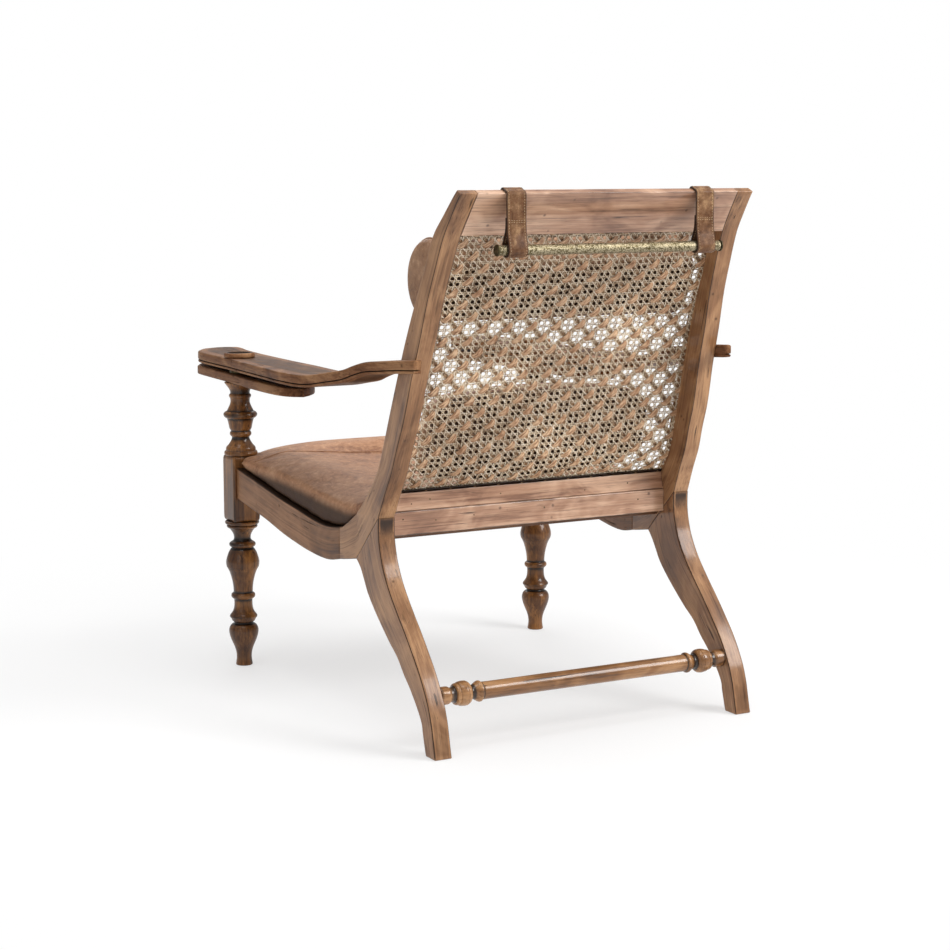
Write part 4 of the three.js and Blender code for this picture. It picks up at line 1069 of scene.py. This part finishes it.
def strand_tree():
    """Parallel strands over a rectangle: each waves over and under, in step with its place in the net."""
    tree, g, given, sockets = new_geometry_tree("cane_strands", {
        "Spacing": 0.0115, "Shift": 0.0, "Turn": 0.0, "Strands": 10, "Length": 0.9, "Step": 0.004, "Width": 0.002,
        "Thickness": 0.0006, "Wave Length": 0.023, "Wave Height": 0.0004, "Wave Start": 0.0, "Wave Shift": 0.0,
        "Wave Squareness": 1.0, "Lift": 0.0, "Half Width Low": 0.29, "Half Width High": 0.26, "Height": 0.46,
        "Move Across": 0.0, "Move Up": 0.0, "Material": None})
    line = g.form("MeshLine", {
        "Count": g.plus(g.math("DIVIDE", given["Length"], given["Step"]), 1.0),
        "Start Location": g.xyz(g.times(given["Length"], -0.5)), "Offset": g.xyz(given["Step"])}, mode="OFFSET")
    reach = g.times(g.times(g.math("SUBTRACT", given["Strands"], 1.0), given["Spacing"]), -0.5)
    rows = g.form("MeshLine", {
        "Count": given["Strands"], "Start Location": g.xyz(y=g.plus(reach, given["Shift"])),
        "Offset": g.xyz(y=given["Spacing"])}, mode="OFFSET")
    numbered = g.form("StoreNamedAttribute", {"Geometry": rows, "Name": "row", "Value": g.form("InputIndex")},
                      data_type="FLOAT", domain="POINT")
    curve = g.form("MeshToCurve", {"Mesh": line})
    spread = g.form("InstanceOnPoints", {"Points": numbered, "Instance": curve})
    real = g.form("RealizeInstances", {"Geometry": spread})
    row = g.form("InputNamedAttribute", {"Name": "row"}, data_type="FLOAT")
    place = g.add("ShaderNodeSeparateXYZ", {0: g.form("InputPosition")}).outputs
    phase = g.plus(g.plus(place[0], given["Wave Start"]), g.times(row, given["Wave Shift"]))
    angle = g.times(g.math("DIVIDE", phase, given["Wave Length"]), full_turn)
    swing = g.times(g.math("COSINE", angle), given["Wave Squareness"])
    swing = g.math("MAXIMUM", g.math("MINIMUM", swing, 1.0), -1.0)
    wave = g.plus(g.times(swing, given["Wave Height"]), given["Lift"])
    waved = g.form("SetPosition", {"Geometry": real, "Offset": g.xyz(z=wave)})
    upright = g.form("SetCurveNormal", {"Curve": waved}, mode="Z_UP")
    with_length = g.form("StoreNamedAttribute", {
        "Geometry": upright, "Name": "along", "Value": g.add("GeometryNodeSplineParameter").outputs["Length"]},
        data_type="FLOAT", domain="POINT")
    # the section is a flat lozenge, so that a strand catches light along its middle
    half_thickness = g.times(given["Thickness"], 0.5)
    section = g.form("CurvePrimitiveQuadrilateral", {
        "Width": given["Width"], "Bottom Height": half_thickness, "Top Height": half_thickness}, mode="KITE")
    body = g.form("CurveToMesh", {"Curve": with_length, "Profile Curve": section, "Fill Caps": True})
    net = g.form("Transform", {
        "Geometry": body, "Rotation": g.xyz(z=given["Turn"]),
        "Translation": g.xyz(given["Move Across"], given["Move Up"])})
    # only what lies in the opening is kept
    share_up = g.plus(g.math("DIVIDE", place[1], given["Height"]), 0.5, clamp=True)
    half = g.plus(g.times(share_up, given["Half Width High"]), g.times(g.rest(share_up), given["Half Width Low"]))
    beside = g.math("GREATER_THAN", g.math("ABSOLUTE", place[0]), half)
    above = g.math("GREATER_THAN", g.math("ABSOLUTE", place[1]), g.times(given["Height"], 0.5))
    outside = g.out("FunctionNodeCompare", {"A": g.plus(beside, above), "B": 0.5},
                    data_type="FLOAT", operation="GREATER_THAN")
    trimmed = g.form("DeleteGeometry", {"Geometry": net, "Selection": outside}, domain="FACE", mode="ALL")
    surfaced = g.form("SetMaterial", {"Geometry": trimmed, "Material": given["Material"]})
    tree.links.new(surfaced, tree.nodes.new("NodeGroupOutput").inputs[0])
    return tree, sockets


strands, strand_sockets = strand_tree()
strand_step = 0.00383
across_stretch, up_stretch = cane_stretch
cane_margin = 6  # how far the strands run in behind the stiles
half_low, half_high = ((float(inner_face(y, z)) + cane_margin) * mm / across_stretch
                       for y, z in ((-256.0, cane_bottom), (-60.0, cane_top)))


def woven(name, material, degrees, spacing, shift, width, thickness, wave_length, wave_height, wave_start,
          wave_shift, lift, squareness=1.0):
    """One set of strands of the cane, made flat, trimmed to the opening and bent along the back."""
    turn = math.radians(degrees)
    extent = 0.82 if abs(degrees) == 45 else 0.66
    made = made_by_tree(name, bpy.data.meshes.new(name), strands, strand_sockets, {
        "Spacing": spacing, "Shift": shift, "Turn": turn, "Strands": int(extent / spacing) // 2 * 2 + 1,
        "Length": extent, "Step": strand_step, "Width": width, "Thickness": thickness, "Wave Length": wave_length,
        "Wave Height": wave_height, "Wave Start": wave_start, "Wave Shift": wave_shift, "Lift": lift,
        "Wave Squareness": squareness, "Half Width Low": half_low, "Half Width High": half_high,
        "Height": cane_length * mm / up_stretch, "Move Across": -cane_move[0] * mm / across_stretch,
        "Move Up": cane_move[1] * mm / up_stretch, "Material": material})
    plain_mesh(made)
    mesh = made.data
    across, up, off = (corner_places(made) * 1000 * (across_stretch, up_stretch, 1.0)).T
    along = np.zeros(len(up), np.float32)
    mesh.attributes["along"].data.foreach_get("value", along)
    beside = -across * mm * math.sin(turn) + up * mm * math.cos(turn)
    up = up + cane_length / 2
    y, z = (np.interp(up, cane_travelled, column) for column in cane_profile.T)
    way_y, way_z = (np.interp(up, cane_travelled, column) for column in units(np.gradient(cane_profile, axis=0)).T)
    bent = metres(np.stack([-across, y + way_z * off, z - way_y * off], 1))
    mesh.vertices.foreach_set("co", bent.astype(np.float32).ravel())
    corner_of = np.empty(len(mesh.loops), np.int32)
    mesh.loops.foreach_get("vertex_index", corner_of)
    sheet_place = np.stack([along, beside], 1)[corner_of]
    mesh.uv_layers.new(name="strand").data.foreach_set("uv", sheet_place.astype(np.float32).ravel())
    mesh.update()
    mesh.materials.clear()
    mesh.materials.append(material)
    faced_outwards(mesh)
    mesh.set_sharp_from_angle(angle=math.radians(80))
    return made


cell = cane_cell * mm
half_cell = cell / 2
slant_cell = cell * math.sqrt(0.5)
half_slant = slant_cell / 2
pair_shift = 0.0017
# fine: width, thickness, wave length and wave height; slim: these, and where the wave starts and its shift
fine = (0.0018, 0.0011, cell, 0.0005)
slim = (0.0015, 0.0010, slant_cell, 0.0008, 0.0, half_slant)
cane_sets = [woven(*values) for values in (
    ("cane_across_a", fine_cane, 0, half_cell, -pair_shift, *fine, 0.0, half_cell, 0.0),
    ("cane_upright_a", fine_cane, 90, half_cell, -pair_shift, *fine, half_cell, half_cell, 0.0002),
    ("cane_across_b", pale_cane, 0, half_cell, pair_shift, *fine, half_cell, half_cell, 0.0),
    ("cane_upright_b", pale_cane, 90, half_cell, pair_shift, *fine, 0.0, half_cell, 0.0002),
    ("cane_falling_fine", pale_cane, -45, half_slant, slant_cell / 4, *slim, 0.0006),
    ("cane_rising_fine", fine_cane, 45, half_slant, slant_cell / 4, *slim, 0.0003),
    ("cane_rising_broad", broad_cane, 45, 2 * slant_cell, slant_cell, 0.0112, 0.0010, 2 * slant_cell, 0.0017,
     slant_cell, 0.0, 0.0008, 1.6),
    ("cane_falling_broad", shaded_broad_cane, -45, 2 * slant_cell, slant_cell, 0.0106, 0.0010, 2 * slant_cell, 0.0,
     slant_cell, 0.0, -0.0006))]
for made in cane_sets:
    finish_piece(made, "frame", "cane", "cane_panel")

# ---------------- stuffed pieces

leather_cloth = {
    "quality": 4, "mass": 0.3, "tension_stiffness": 22, "compression_stiffness": 22, "shear_stiffness": 12,
    "bending_stiffness": 1.2, "air_damping": 2, "use_pressure": True, "uniform_pressure_force": 4.0,
    "vertex_group_mass": "held"}
filling_frames = 16


def drawn(places):
    """The y and z of places, in the drawing's millimetres."""
    return (places[:, 1] - rear_edge) * 1000, places[:, 2] * 1000


def stuffed(made, grow, held):
    """Fills a leather case as a cloth under pressure, from its slack shape, with some of its corners held."""
    start = corner_places(made)
    group = made.vertex_groups.new(name="held")
    for i, share in enumerate(held(start)):
        if share > 0:
            group.add([i], float(share), "REPLACE")
    change = made.modifiers.new("filled", "CLOTH")
    for name, value in leather_cloth.items():
        setattr(change.settings, name, value)
    change.settings.effector_weights.gravity = 0
    change.collision_settings.use_collision = False
    change.point_cache.frame_start = 1
    change.point_cache.frame_end = filling_frames
    for step in range(1, filling_frames + 1):
        bpy.context.scene.frame_set(step)
        bpy.context.view_layer.update()
    move = corner_places(made.evaluated_get(bpy.context.evaluated_depsgraph_get())) - start
    made.modifiers.clear()
    made.vertex_groups.clear()
    bpy.context.scene.frame_set(1)
    far = np.linalg.norm(move, axis=1)
    move *= (np.minimum(far, grow) / np.maximum(far, 1e-9))[:, None]
    made.data.vertices.foreach_set("co", (start + move).astype(np.float32).ravel())
    made.data.update()


def cushion(name, rings, material, grow, held):
    """A cushion from its slack shape: evenly meshed, filled, and made finer."""
    shell = Shell().rings(rings)
    made = mesh_object(name, *shell.form, material)
    modified(made, "REMESH", mode="VOXEL", voxel_size=0.006)
    modified(made, "SMOOTH", iterations=2)
    stuffed(made, grow, held)
    modified(made, "SUBSURF", levels=1, render_levels=1)
    shaded_smooth(made.data)
    return made


seat_top_line = np.array(sorted(low((
    (.965, 1.118), (.894, 1.116), (.816, 1.112), (.723, 1.1), (.642, 1.085), (.606, 1.075), (.547, 1.062),
    (.5, 1.052), (.448, 1.045), (.435, 1.043), (.374, 1.048), (.356, 1.06)))))
seat_base_line = np.array(sorted([*high(stile_front)[:2], *low(knee_top), *low(rail_top)[1:]]))


def seat_top_z(y):
    return np.interp(y, seat_top_line[:, 0], seat_top_line[:, 1])


def seat_base_z(y):
    return np.interp(y, seat_base_line[:, 0], seat_base_line[:, 1])


def seat_rings(slack):
    """Rings of the seat cushion from its front roll to the stiles, drawn in by the slack."""
    roll_depth, crown_height = 35, 9
    sag_places, sag_depths = (-765, -715, -560, -400, -330), (0, 25, 24, 10, 4)
    between_blocks = front_leg_x - block_half - 3
    under, front_top = rail_high + 0.7, seat_top_line[0, 1]
    places = [(-leg_setback - forward * roll_depth, between_blocks - (1 - share) * 17, under,
               under + share * (front_top - under), share)
              for forward, share in ((1, .5), (.9, .74), (.75, .87), (.5, .96), (.2, 1))]
    places += [(y, between_blocks, under, front_top, 1) for y in (-800, -785, -rail_end - 11, 3 - rail_end)]
    places += [(y, float(outer_face(y, knee_height)) - 8, float(seat_base_z(y)) + .7, float(seat_top_z(y)), 1)
               for y in np.linspace(4.5 - rail_end, -0.374 * leg_setback, 46)]
    last = places[-1]
    for back, share in ((.35, .7), (.75, .3)):
        y = last[0] + back * 14.4
        places.append((y, last[1], float(seat_base_z(y)) + .7, last[3] + 2, share))
    rings = []
    for y, half, bottom, top, crown in places:
        out, low_edge, high_edge = half + 2.5 - slack * .5, bottom + .5, top - slack * .5
        tall = high_edge - low_edge
        shoulder, foot = min(20, tall * .48), min(5, tall * .2)
        sag = float(np.interp(y, sag_places, sag_depths))
        side = [((out - foot) * k, low_edge) for k in (.15, .3, .45, .6, .75, .87)]
        side += [(out - foot, low_edge), (out - foot * .3, low_edge + foot * .3), (out, low_edge + foot)]
        side += [(out + math.sin(math.pi * k), low_edge + foot + (tall - foot - shoulder) * k) for k in (.35, .7)]
        side += [(out - shoulder * (1 - math.cos(a)), high_edge - shoulder * (1 - math.sin(a)))
                 for a in np.linspace(.15, math.pi / 2, 6)]
        side += [((out - shoulder) * k,
                  high_edge + crown * crown_height * (1 - k ** 10) - sag * (1 - k * k) ** 1.5)
                 for k in (.97, .93, .88, .8, .7, .58, .45, .3, .15)]
        rings.append(np.array([(x, y, z) for x, z in side] + [(0, y, high_edge + crown * crown_height - sag)]
                              + [(-x, y, z) for x, z in reversed(side)] + [(0, y, low_edge)]))
    return rings


def seat_held(points):
    y, z = drawn(points)
    reach = outer_face(y, knee_height) - 6 - np.abs(points[:, 0]) * 1000
    return np.maximum(np.clip((12 - z + seat_base_z(y)) / 8, 0, 1), np.clip((9 - reach) / 8, 0, .8))


seat = cushion("seat_cushion_stuffed", seat_rings(3), seat_leather, 0.007, seat_held)
places = corner_places(seat)
seat_y, seat_z = drawn(places)
beside = outer_face(seat_y, knee_height) - np.abs(places[:, 0]) * 1000
# the sides are painted darker low down beside the rails, as shade under the seat's rolled edge
mark(seat, "dark_edge_and_shade", np.clip((seat_top_z(seat_y) - seat_z - 4) / 34, 0, .95) * (beside < 26))


def cane_face(z):
    """Where the front of the cane is at a height."""
    return stile_front_y(z) + 3.0


def roll_rings(half_length, shares, ring_at, squeeze=0.0):
    """Rings along a cushion from end to end: shares of its half length and of its full section."""
    ends = [(-along, out) for along, out in reversed(shares)]
    return [np.array([(along * (half_length - squeeze), y, z) for y, z in ring_at(out)])
            for along, out in ends + shares[1:]]


puff = [(0, 1), (.15, .998), (.3, .985), (.42, .965), (.55, .93), (.65, .885), (.75, .83), (.83, .76), (.89, .67),
        (.94, .57), (.97, .48), (1, .3)]
roll = [(0, 1), (.2, 1), (.4, 1), (.6, 1), (.78, 1), (.9, 1), (.965, .985), (.988, .94), (1, .84)]
back_thickness = 150
back_half_height = 91.5
back_lift = 38
back_middle = knee_height + back_lift + back_half_height


def softened(share):
    return math.copysign(abs(share) ** 0.7, share)


def back_ring(out, slack=6):
    ring = []
    for angle in full_turn * (np.arange(48) + .5) / 48:
        z = back_middle + softened(math.sin(angle)) * (back_half_height - slack) * (1 + out) / 2
        thick = out * (back_thickness - slack) * (1 - softened(math.cos(angle))) / 2
        ring.append((float(cane_face(z)) - 1.0 - thick, z))
    return ring


def near_cane(points):
    y, z = drawn(points)
    return np.clip((7 - (cane_face(z) - y)) / 5, 0, 1)


cane_way = unit(np.array([stile_front_y(850) - stile_front_y(700), 150.0]))
off_cane = np.array([-cane_way[1], cane_way[0]])


def pillow_ring(out, slack=2.5):
    radius = (pillow_radius - slack) * out
    return [np.array(pillow_axis) + cane_way * radius * math.cos(angle)
            - off_cane * min(radius * math.sin(angle), pillow_flat - 1) for angle in around(56)]


def pillow_held(points):
    y, z = drawn(points)
    behind = -((y - pillow_axis[0]) * off_cane[0] + (z - pillow_axis[1]) * off_cane[1])
    return np.clip((behind - (pillow_flat - 5)) / 3, 0, 1)


def painted_shade_behind(made, start):
    """The side that lies against the cane is painted darker, as the shade seen through the cane."""
    facing = np.array([v.normal for v in made.data.vertices])
    behind = -facing[:, 1] * off_cane[0] - facing[:, 2] * off_cane[1]
    mark(made, "dark_edge_and_shade", np.clip((behind - start) / 0.4, 0, 1))


back = cushion("back_cushion_stuffed", roll_rings(230, puff, back_ring, 6), seat_leather, 0.010, near_cane)
painted_shade_behind(back, -0.25)
pillow = cushion("head_pillow_stuffed", roll_rings(pillow_half - 2, roll, pillow_ring), pillow_leather, 0.006,
                 pillow_held)
painted_shade_behind(pillow, 0.5)

# ---------------- seams, piping and stitches


def stitch_tree():
    """Short stitches laid along a line, each lying in the surface that the line runs on."""
    tree, g, given, sockets = new_geometry_tree("stitches", {
        "Spacing": 0.005, "Length": 0.0034, "Thickness": 0.0009, "Material": None})
    curve = g.form("MeshToCurve", {"Mesh": given["Geometry"]})
    even = g.add("GeometryNodeCurveToPoints", {"Curve": curve, "Length": given["Spacing"]}, mode="LENGTH").outputs
    facing = g.form("InputNamedAttribute", {"Name": "facing"}, data_type="FLOAT_VECTOR")
    ahead = g.out("FunctionNodeAlignRotationToVector", {"Vector": even["Tangent"]}, axis="X")
    lying = g.out("FunctionNodeAlignRotationToVector", {"Rotation": ahead, "Vector": facing},
                  axis="Z", pivot_axis="X")
    ball = g.form("MeshUVSphere", {"Segments": 6, "Rings": 4, "Radius": 0.5})
    size = g.xyz(given["Length"], given["Thickness"], given["Thickness"])
    many = g.form("InstanceOnPoints", {
        "Points": even[0], "Instance": ball, "Rotation": lying, "Scale": size})
    real = g.form("RealizeInstances", {"Geometry": many})
    shaded = g.form("SetShadeSmooth", {"Geometry": real})
    done = g.form("SetMaterial", {"Geometry": shaded, "Material": given["Material"]})
    tree.links.new(done, tree.nodes.new("NodeGroupOutput").inputs[0])
    return tree, sockets


stitches, stitch_sockets = stitch_tree()


def stitched(name, lines, material, thickness, spacing=0.0046, length=0.0030):
    """Rows of stitches along lines in metres: each line is a list of (place, the way that the surface faces)."""
    mesh = bpy.data.meshes.new(name)
    corners, edges, faced = [], [], []
    for line in lines:
        first = len(corners)
        corners += [tuple(place) for place, _ in line]
        faced += [tuple(normal) for _, normal in line]
        edges += [(first + i, first + i + 1) for i in range(len(line) - 1)]
    mesh.from_pydata(corners, edges, [])
    made = made_by_tree(name, mesh, stitches, stitch_sockets, {
        "Spacing": spacing, "Length": length, "Thickness": thickness, "Material": material})
    mark(made, "facing", faced)
    plain_mesh(made)
    if not made.data.materials:
        made.data.materials.append(material)
    return made


def laid_on(made, rays, lift):
    """The line where rays meet a piece, with the way its surface faces there: a ray is (start, way)."""
    tree = BVHTree.FromObject(made, bpy.context.evaluated_depsgraph_get())
    hits = [tree.ray_cast(Vector(start), Vector(way)) for start, way in rays]
    return [(np.array(hit[0] + hit[1] * lift), np.array(hit[1])) for hit in hits if hit[0] is not None]


def cord(name, line, radius, material, closed=False, sides=8):
    """A round cord along points in metres."""
    points = np.array([place for place, _ in line], float)
    count = len(points)
    ahead = np.roll(points, -1, 0) - np.roll(points, 1, 0) if closed else np.gradient(points, axis=0)
    normal = np.array([0.0, 0.0, 1.0])
    corners, faces = [], []
    for point, way in zip(points, ahead):
        way = unit(way)
        normal = unit(normal - way * np.dot(normal, way))
        if np.linalg.norm(normal) < .5:
            normal = unit(np.cross(way, (1, 0, 0)))
        beside = np.cross(way, normal)
        corners += [point + radius * (normal * math.cos(a) + beside * math.sin(a)) for a in around(sides)]
    for i in range(count if closed else count - 1):
        for j in range(sides):
            a, b = i * sides + j, i * sides + (j + 1) % sides
            faces.append((a, b, (b + sides) % (count * sides), (a + sides) % (count * sides)))
    if not closed:
        faces += [tuple(range(sides)), tuple(range((count - 1) * sides, count * sides))]
    return mesh_object(name, corners, faces, material, None, list)


def joined(name, objects):
    """One object from several, with their materials."""
    for each in bpy.context.view_layer.objects:
        each.select_set(each in objects)
    bpy.context.view_layer.objects.active = objects[0]
    bpy.ops.object.join()
    objects[0].name = name
    objects[0].data.name = name
    return objects[0]


def seen_from_above(y, half, count):
    """Rays that fall on the seat along a line from side to side."""
    above_seat = 560
    return [(metres((x, y, above_seat)), (0, 0, -1)) for x in np.linspace(-half, half, count)]


# the seat's cross seam, behind its front roll
seam_y = -722.0
seam_half = float(outer_face(seam_y, knee_height)) - 20
seam_lines = [laid_on(seat, seen_from_above(y, seam_half, 120), 0.0) for y in (seam_y - 2.6, seam_y + 2.4)]
finish_piece(stitched("seat_stitching", seam_lines, seam_thread, 0.0008), "frame", "cushion_leather")
ridge = laid_on(seat, seen_from_above(seam_y, seam_half + 6, 140), 0.0002)
finish_piece(cord("seat_seam", ridge, 0.0012, seat_leather), "frame", "cushion_leather")

finish_piece(seat, "frame", "cushion_leather", "seat_cushion")
finish_piece(back, "frame", "cushion_leather", "back_cushion")
finish_piece(pillow, "pillow", "cushion_leather", "head_pillow")

for side, name in both_sides:
    middle = metres((side * (pillow_half - 16), *pillow_axis))
    line = laid_on(pillow, [(middle, (0, math.cos(a), math.sin(a))) for a in around(72)], 0.0003)
    finish_piece(cord(f"pillow_piping_{name}", line, 0.0021, pillow_leather, True), "pillow", "cushion_leather")

# ---------------- straps


def arc(centre, radius, from_angle, to_angle, count):
    return [(centre[0] + radius * math.cos(a), centre[1] + radius * math.sin(a))
            for a in np.radians(np.linspace(from_angle, to_angle, count))]


# a strap's section: shares of its width and thickness, with how dark each place is
strap_section = [
    (-.5, -.2, 1), (-.485, -.42, 1), (-.44, -.5, .25), (.44, -.5, .25), (.485, -.42, 1), (.5, -.2, 1), (.5, .2, 1),
    (.485, .42, 1), (.44, .5, .25), (0, .53, 0), (-.44, .5, .25), (-.485, .42, 1), (-.5, .2, 1)]
rear_path = [
    (18.4, 955.4), (22.4, 953.9), (25.6, 952.2), (27.3, 950.0), (27.7, 946.5), (27.7, 936), (27.7, 920),
    (27.8, 906), (28.2, 894), (30.0, 880), (32.8, 869), *arc((rod_y, rod_z), 10.9, 0, -180, 10),
    (14.8, 868), (19.2, 878), (23.2, 888), (24.4, 897), (24.5, 904), (24.5, 910)]
front_path = [
    *arc(pillow_axis, pillow_radius + 2.2, 142, 92, 7),
    (-140, 878.6), (-105, 879.6), (-80, 880.6), (-66, 882.6), (-56, 889), (-43, 903), (-24, 922.5), (-4, 943.0),
    (6, 953.6), (9, 956.9), (12.4, 958.2), (18.4, 955.4)]
stitch_height = strap_thickness / 2 + .1
edge_row, cross_row = 14.8, 14  # how far the rows of stitches are from a strap's middle, and reach from it


def sewn_across(x, place, normal, way, height=None):
    """A row of stitches across a strap, on the side that the way names."""
    y, z = place + way * normal * stitch_height
    return [(metres((x + dx, y, z if height is None else height)), way * np.array((0, *normal)))
            for dx in np.linspace(-cross_row, cross_row, 12)]


for side, name in both_sides:
    x = side * strap_offset
    for label, path, bodies, start, end in (
            ("rear", rear_path, ("frame", "counterweight"), (x, 27, 962), (x, 27, 900)),
            ("front", front_path, ("pillow", "frame"), (x, -150, 880), (x, -20, 930))):
        line = smooth(path, 4)
        ahead = units(np.gradient(line, axis=0))
        normals = np.stack([-ahead[:, 1], ahead[:, 0]], 1)
        shell = Shell().rings([np.array([(x + a * strap_width, *(place + b * strap_thickness * normal))
                                         for a, b, _ in strap_section]) for place, normal in zip(line, normals)])
        leather = mesh_object(f"strap_{label}_{name}_leather", *shell.form, strap_leather, 60.0)
        mark(leather, "dark_edge_and_shade", [dark for _, _, dark in strap_section] * len(line) + [0, 0])
        rows = [[(metres((x + inset, *(place + way * normal * stitch_height))), way * np.array((0, *normal)))
                 for place, normal in zip(line, normals)] for inset in (-edge_row, edge_row) for way in (1, -1)]
        if label == "rear":
            for height in (905.5, 902.5):
                i = int(np.argmin(np.abs(line[:len(line) // 2, 1] - height)))
                rows.append(sewn_across(x, line[i], normals[i], 1, height))
        else:
            rows += [sewn_across(x, line[i], normals[i], way) for i in (2, 4) for way in (1, -1)]
        sewn = stitched(f"sewn_{label}_{name}", rows, stitching, 0.0009)
        strap = joined(f"strap_{label}_{name}", [leather, sewn])
        tuple(metres(start))
        tuple(metres(end))
        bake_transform(strap)
        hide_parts(f"strap_{name}")

# ---------------- rod


def turned_metal(name, outline, sides, steps, material, slot, node):
    shell = lathe(outline, (0, rod_y, rod_z), sides, 0, steps, "x")
    finish_piece(mesh_object(name, *shell.form, material, 60.0), "counterweight", slot, node)


rod_rings = (75, 214)
rod_points = [(-rod_half, 7.6), (-rod_half + .6, 8.5)]
for x in np.linspace(-rod_half + 2, rod_half - 2, 440):
    groove = min(abs(abs(x) - place) for place in rod_rings)
    rod_points.append((x, 8.95 - 1.6 * math.exp(-(groove / 1.3) ** 2)))
rod_points += [(rod_half - .6, 8.5), (rod_half, 7.6)]
turned_metal("counterweight_rod_beaten", rod_points, 40, 1, brass, "brass", "counterweight_rod")
cap_turning = [(.3, 8.6), (.6, 9.6), (1.2, 10), (2.2, 10), (2.9, 9.5), (3.3, 8.2), (3.3, 4), (3.3, .4)]
for side, name in both_sides:
    turned_metal(f"rod_cap_{name}_turned", [(side * (rod_half + along), radius) for along, radius in cap_turning],
                 40, 2, bronze, "dark_bronze", f"rod_cap_{name}")

# ---------------- parts that keep their own shape

for node, material in {
        "seat_deck": deck_wood, "seat_cleat_left": cleat_wood, "seat_cleat_right": cleat_wood,
        "cane_spline_left": spline_wood, "cane_spline_right": spline_wood, "cane_spline_top": deck_wood,
        "cane_spline_bottom": deck_wood, "pivot_washer_left": bronze, "pivot_washer_right": bronze}.items():
    part = frame["nodes"][node]
    for slot in part.material_slots:
        slot.material = material
    if not part.material_slots:
        part.data.materials.append(material)

# ---------------- floor and light

plain_white = (1, 1, 1, 1)


def floor_material():
    """White floor that keeps soft shadows near the chair and fades to plain white further out."""
    material, g = new_material("studio_floor")
    away = g.add("ShaderNodeVectorMath", {0: g.place()}, operation="LENGTH").outputs["Value"]
    lit = g.out("ShaderNodeBsdfDiffuse", {"Color": (0.9, 0.9, 0.9, 1)})
    white = g.out("ShaderNodeEmission", {"Color": plain_white, "Strength": 1.0})
    path = g.add("ShaderNodeLightPath").outputs
    seen = g.math("MAXIMUM", path["Is Camera Ray"],
                  g.math("MAXIMUM", path["Is Glossy Ray"], path["Is Transmission Ray"]))
    share = g.times(seen, g.spread(away, 0.7, 1.7, 0.58, 1.0))
    mixed = g.out("ShaderNodeMixShader", {0: share, 1: lit, 2: white})
    g.add("ShaderNodeOutputMaterial", {"Surface": mixed})
    return material


floor_mesh = bpy.data.meshes.new("studio_floor")
floor_reach, floor_depth = 12, -.0006
floor_mesh.from_pydata([(x * floor_reach, y * floor_reach, floor_depth)
                        for x, y in ((-1, -1), (1, -1), (1, 1), (-1, 1))], [], [(0, 1, 2, 3)])
floor_mesh.materials.append(floor_material())
floor = placed_object("studio_floor", floor_mesh)

world = bpy.data.worlds.new("studio")
world.use_nodes = True
world.node_tree.nodes.clear()
g = Graph(world.node_tree)
path = g.add("ShaderNodeLightPath").outputs
seen = g.math("MAXIMUM", path["Is Camera Ray"], path["Is Transmission Ray"])
soft, white = (g.out("ShaderNodeBackground", {"Color": plain_white, "Strength": strength})
               for strength in (0.42, 1.0))
mixed = g.out("ShaderNodeMixShader", {0: seen, 1: soft, 2: white})
g.add("ShaderNodeOutputWorld", {"Surface": mixed})
bpy.context.scene.world = world

for name, place, aim_height, size, power in (
        ("key_light", (-2.3, 2.7, 2.6), 0.45, (1.8, 1.8), 118),
        ("top_light", (0.2, 0.3, 3.4), 0.4, (2.4, 2.4), 62),
        ("fill_light", (3.2, 1.9, 1.5), 0.45, (1.6, 1.6), 7),
        ("front_light", (-0.8, -3.2, 2.6), 0.4, (2.4, 2.0), 30)):
    lamp_data = bpy.data.lights.new(name, "AREA")
    lamp_data.shape = "RECTANGLE"
    lamp_data.size, lamp_data.size_y = size
    lamp_data.energy = power
    lamp = placed_object(name, lamp_data)
    lamp.location = place
    lamp.rotation_euler = (Vector((0, 0, aim_height)) - Vector(place)).to_track_quat("-Z", "Y").to_euler()

bpy.context.scene.view_settings.view_transform = "Standard"
bpy.context.view_layer.update()
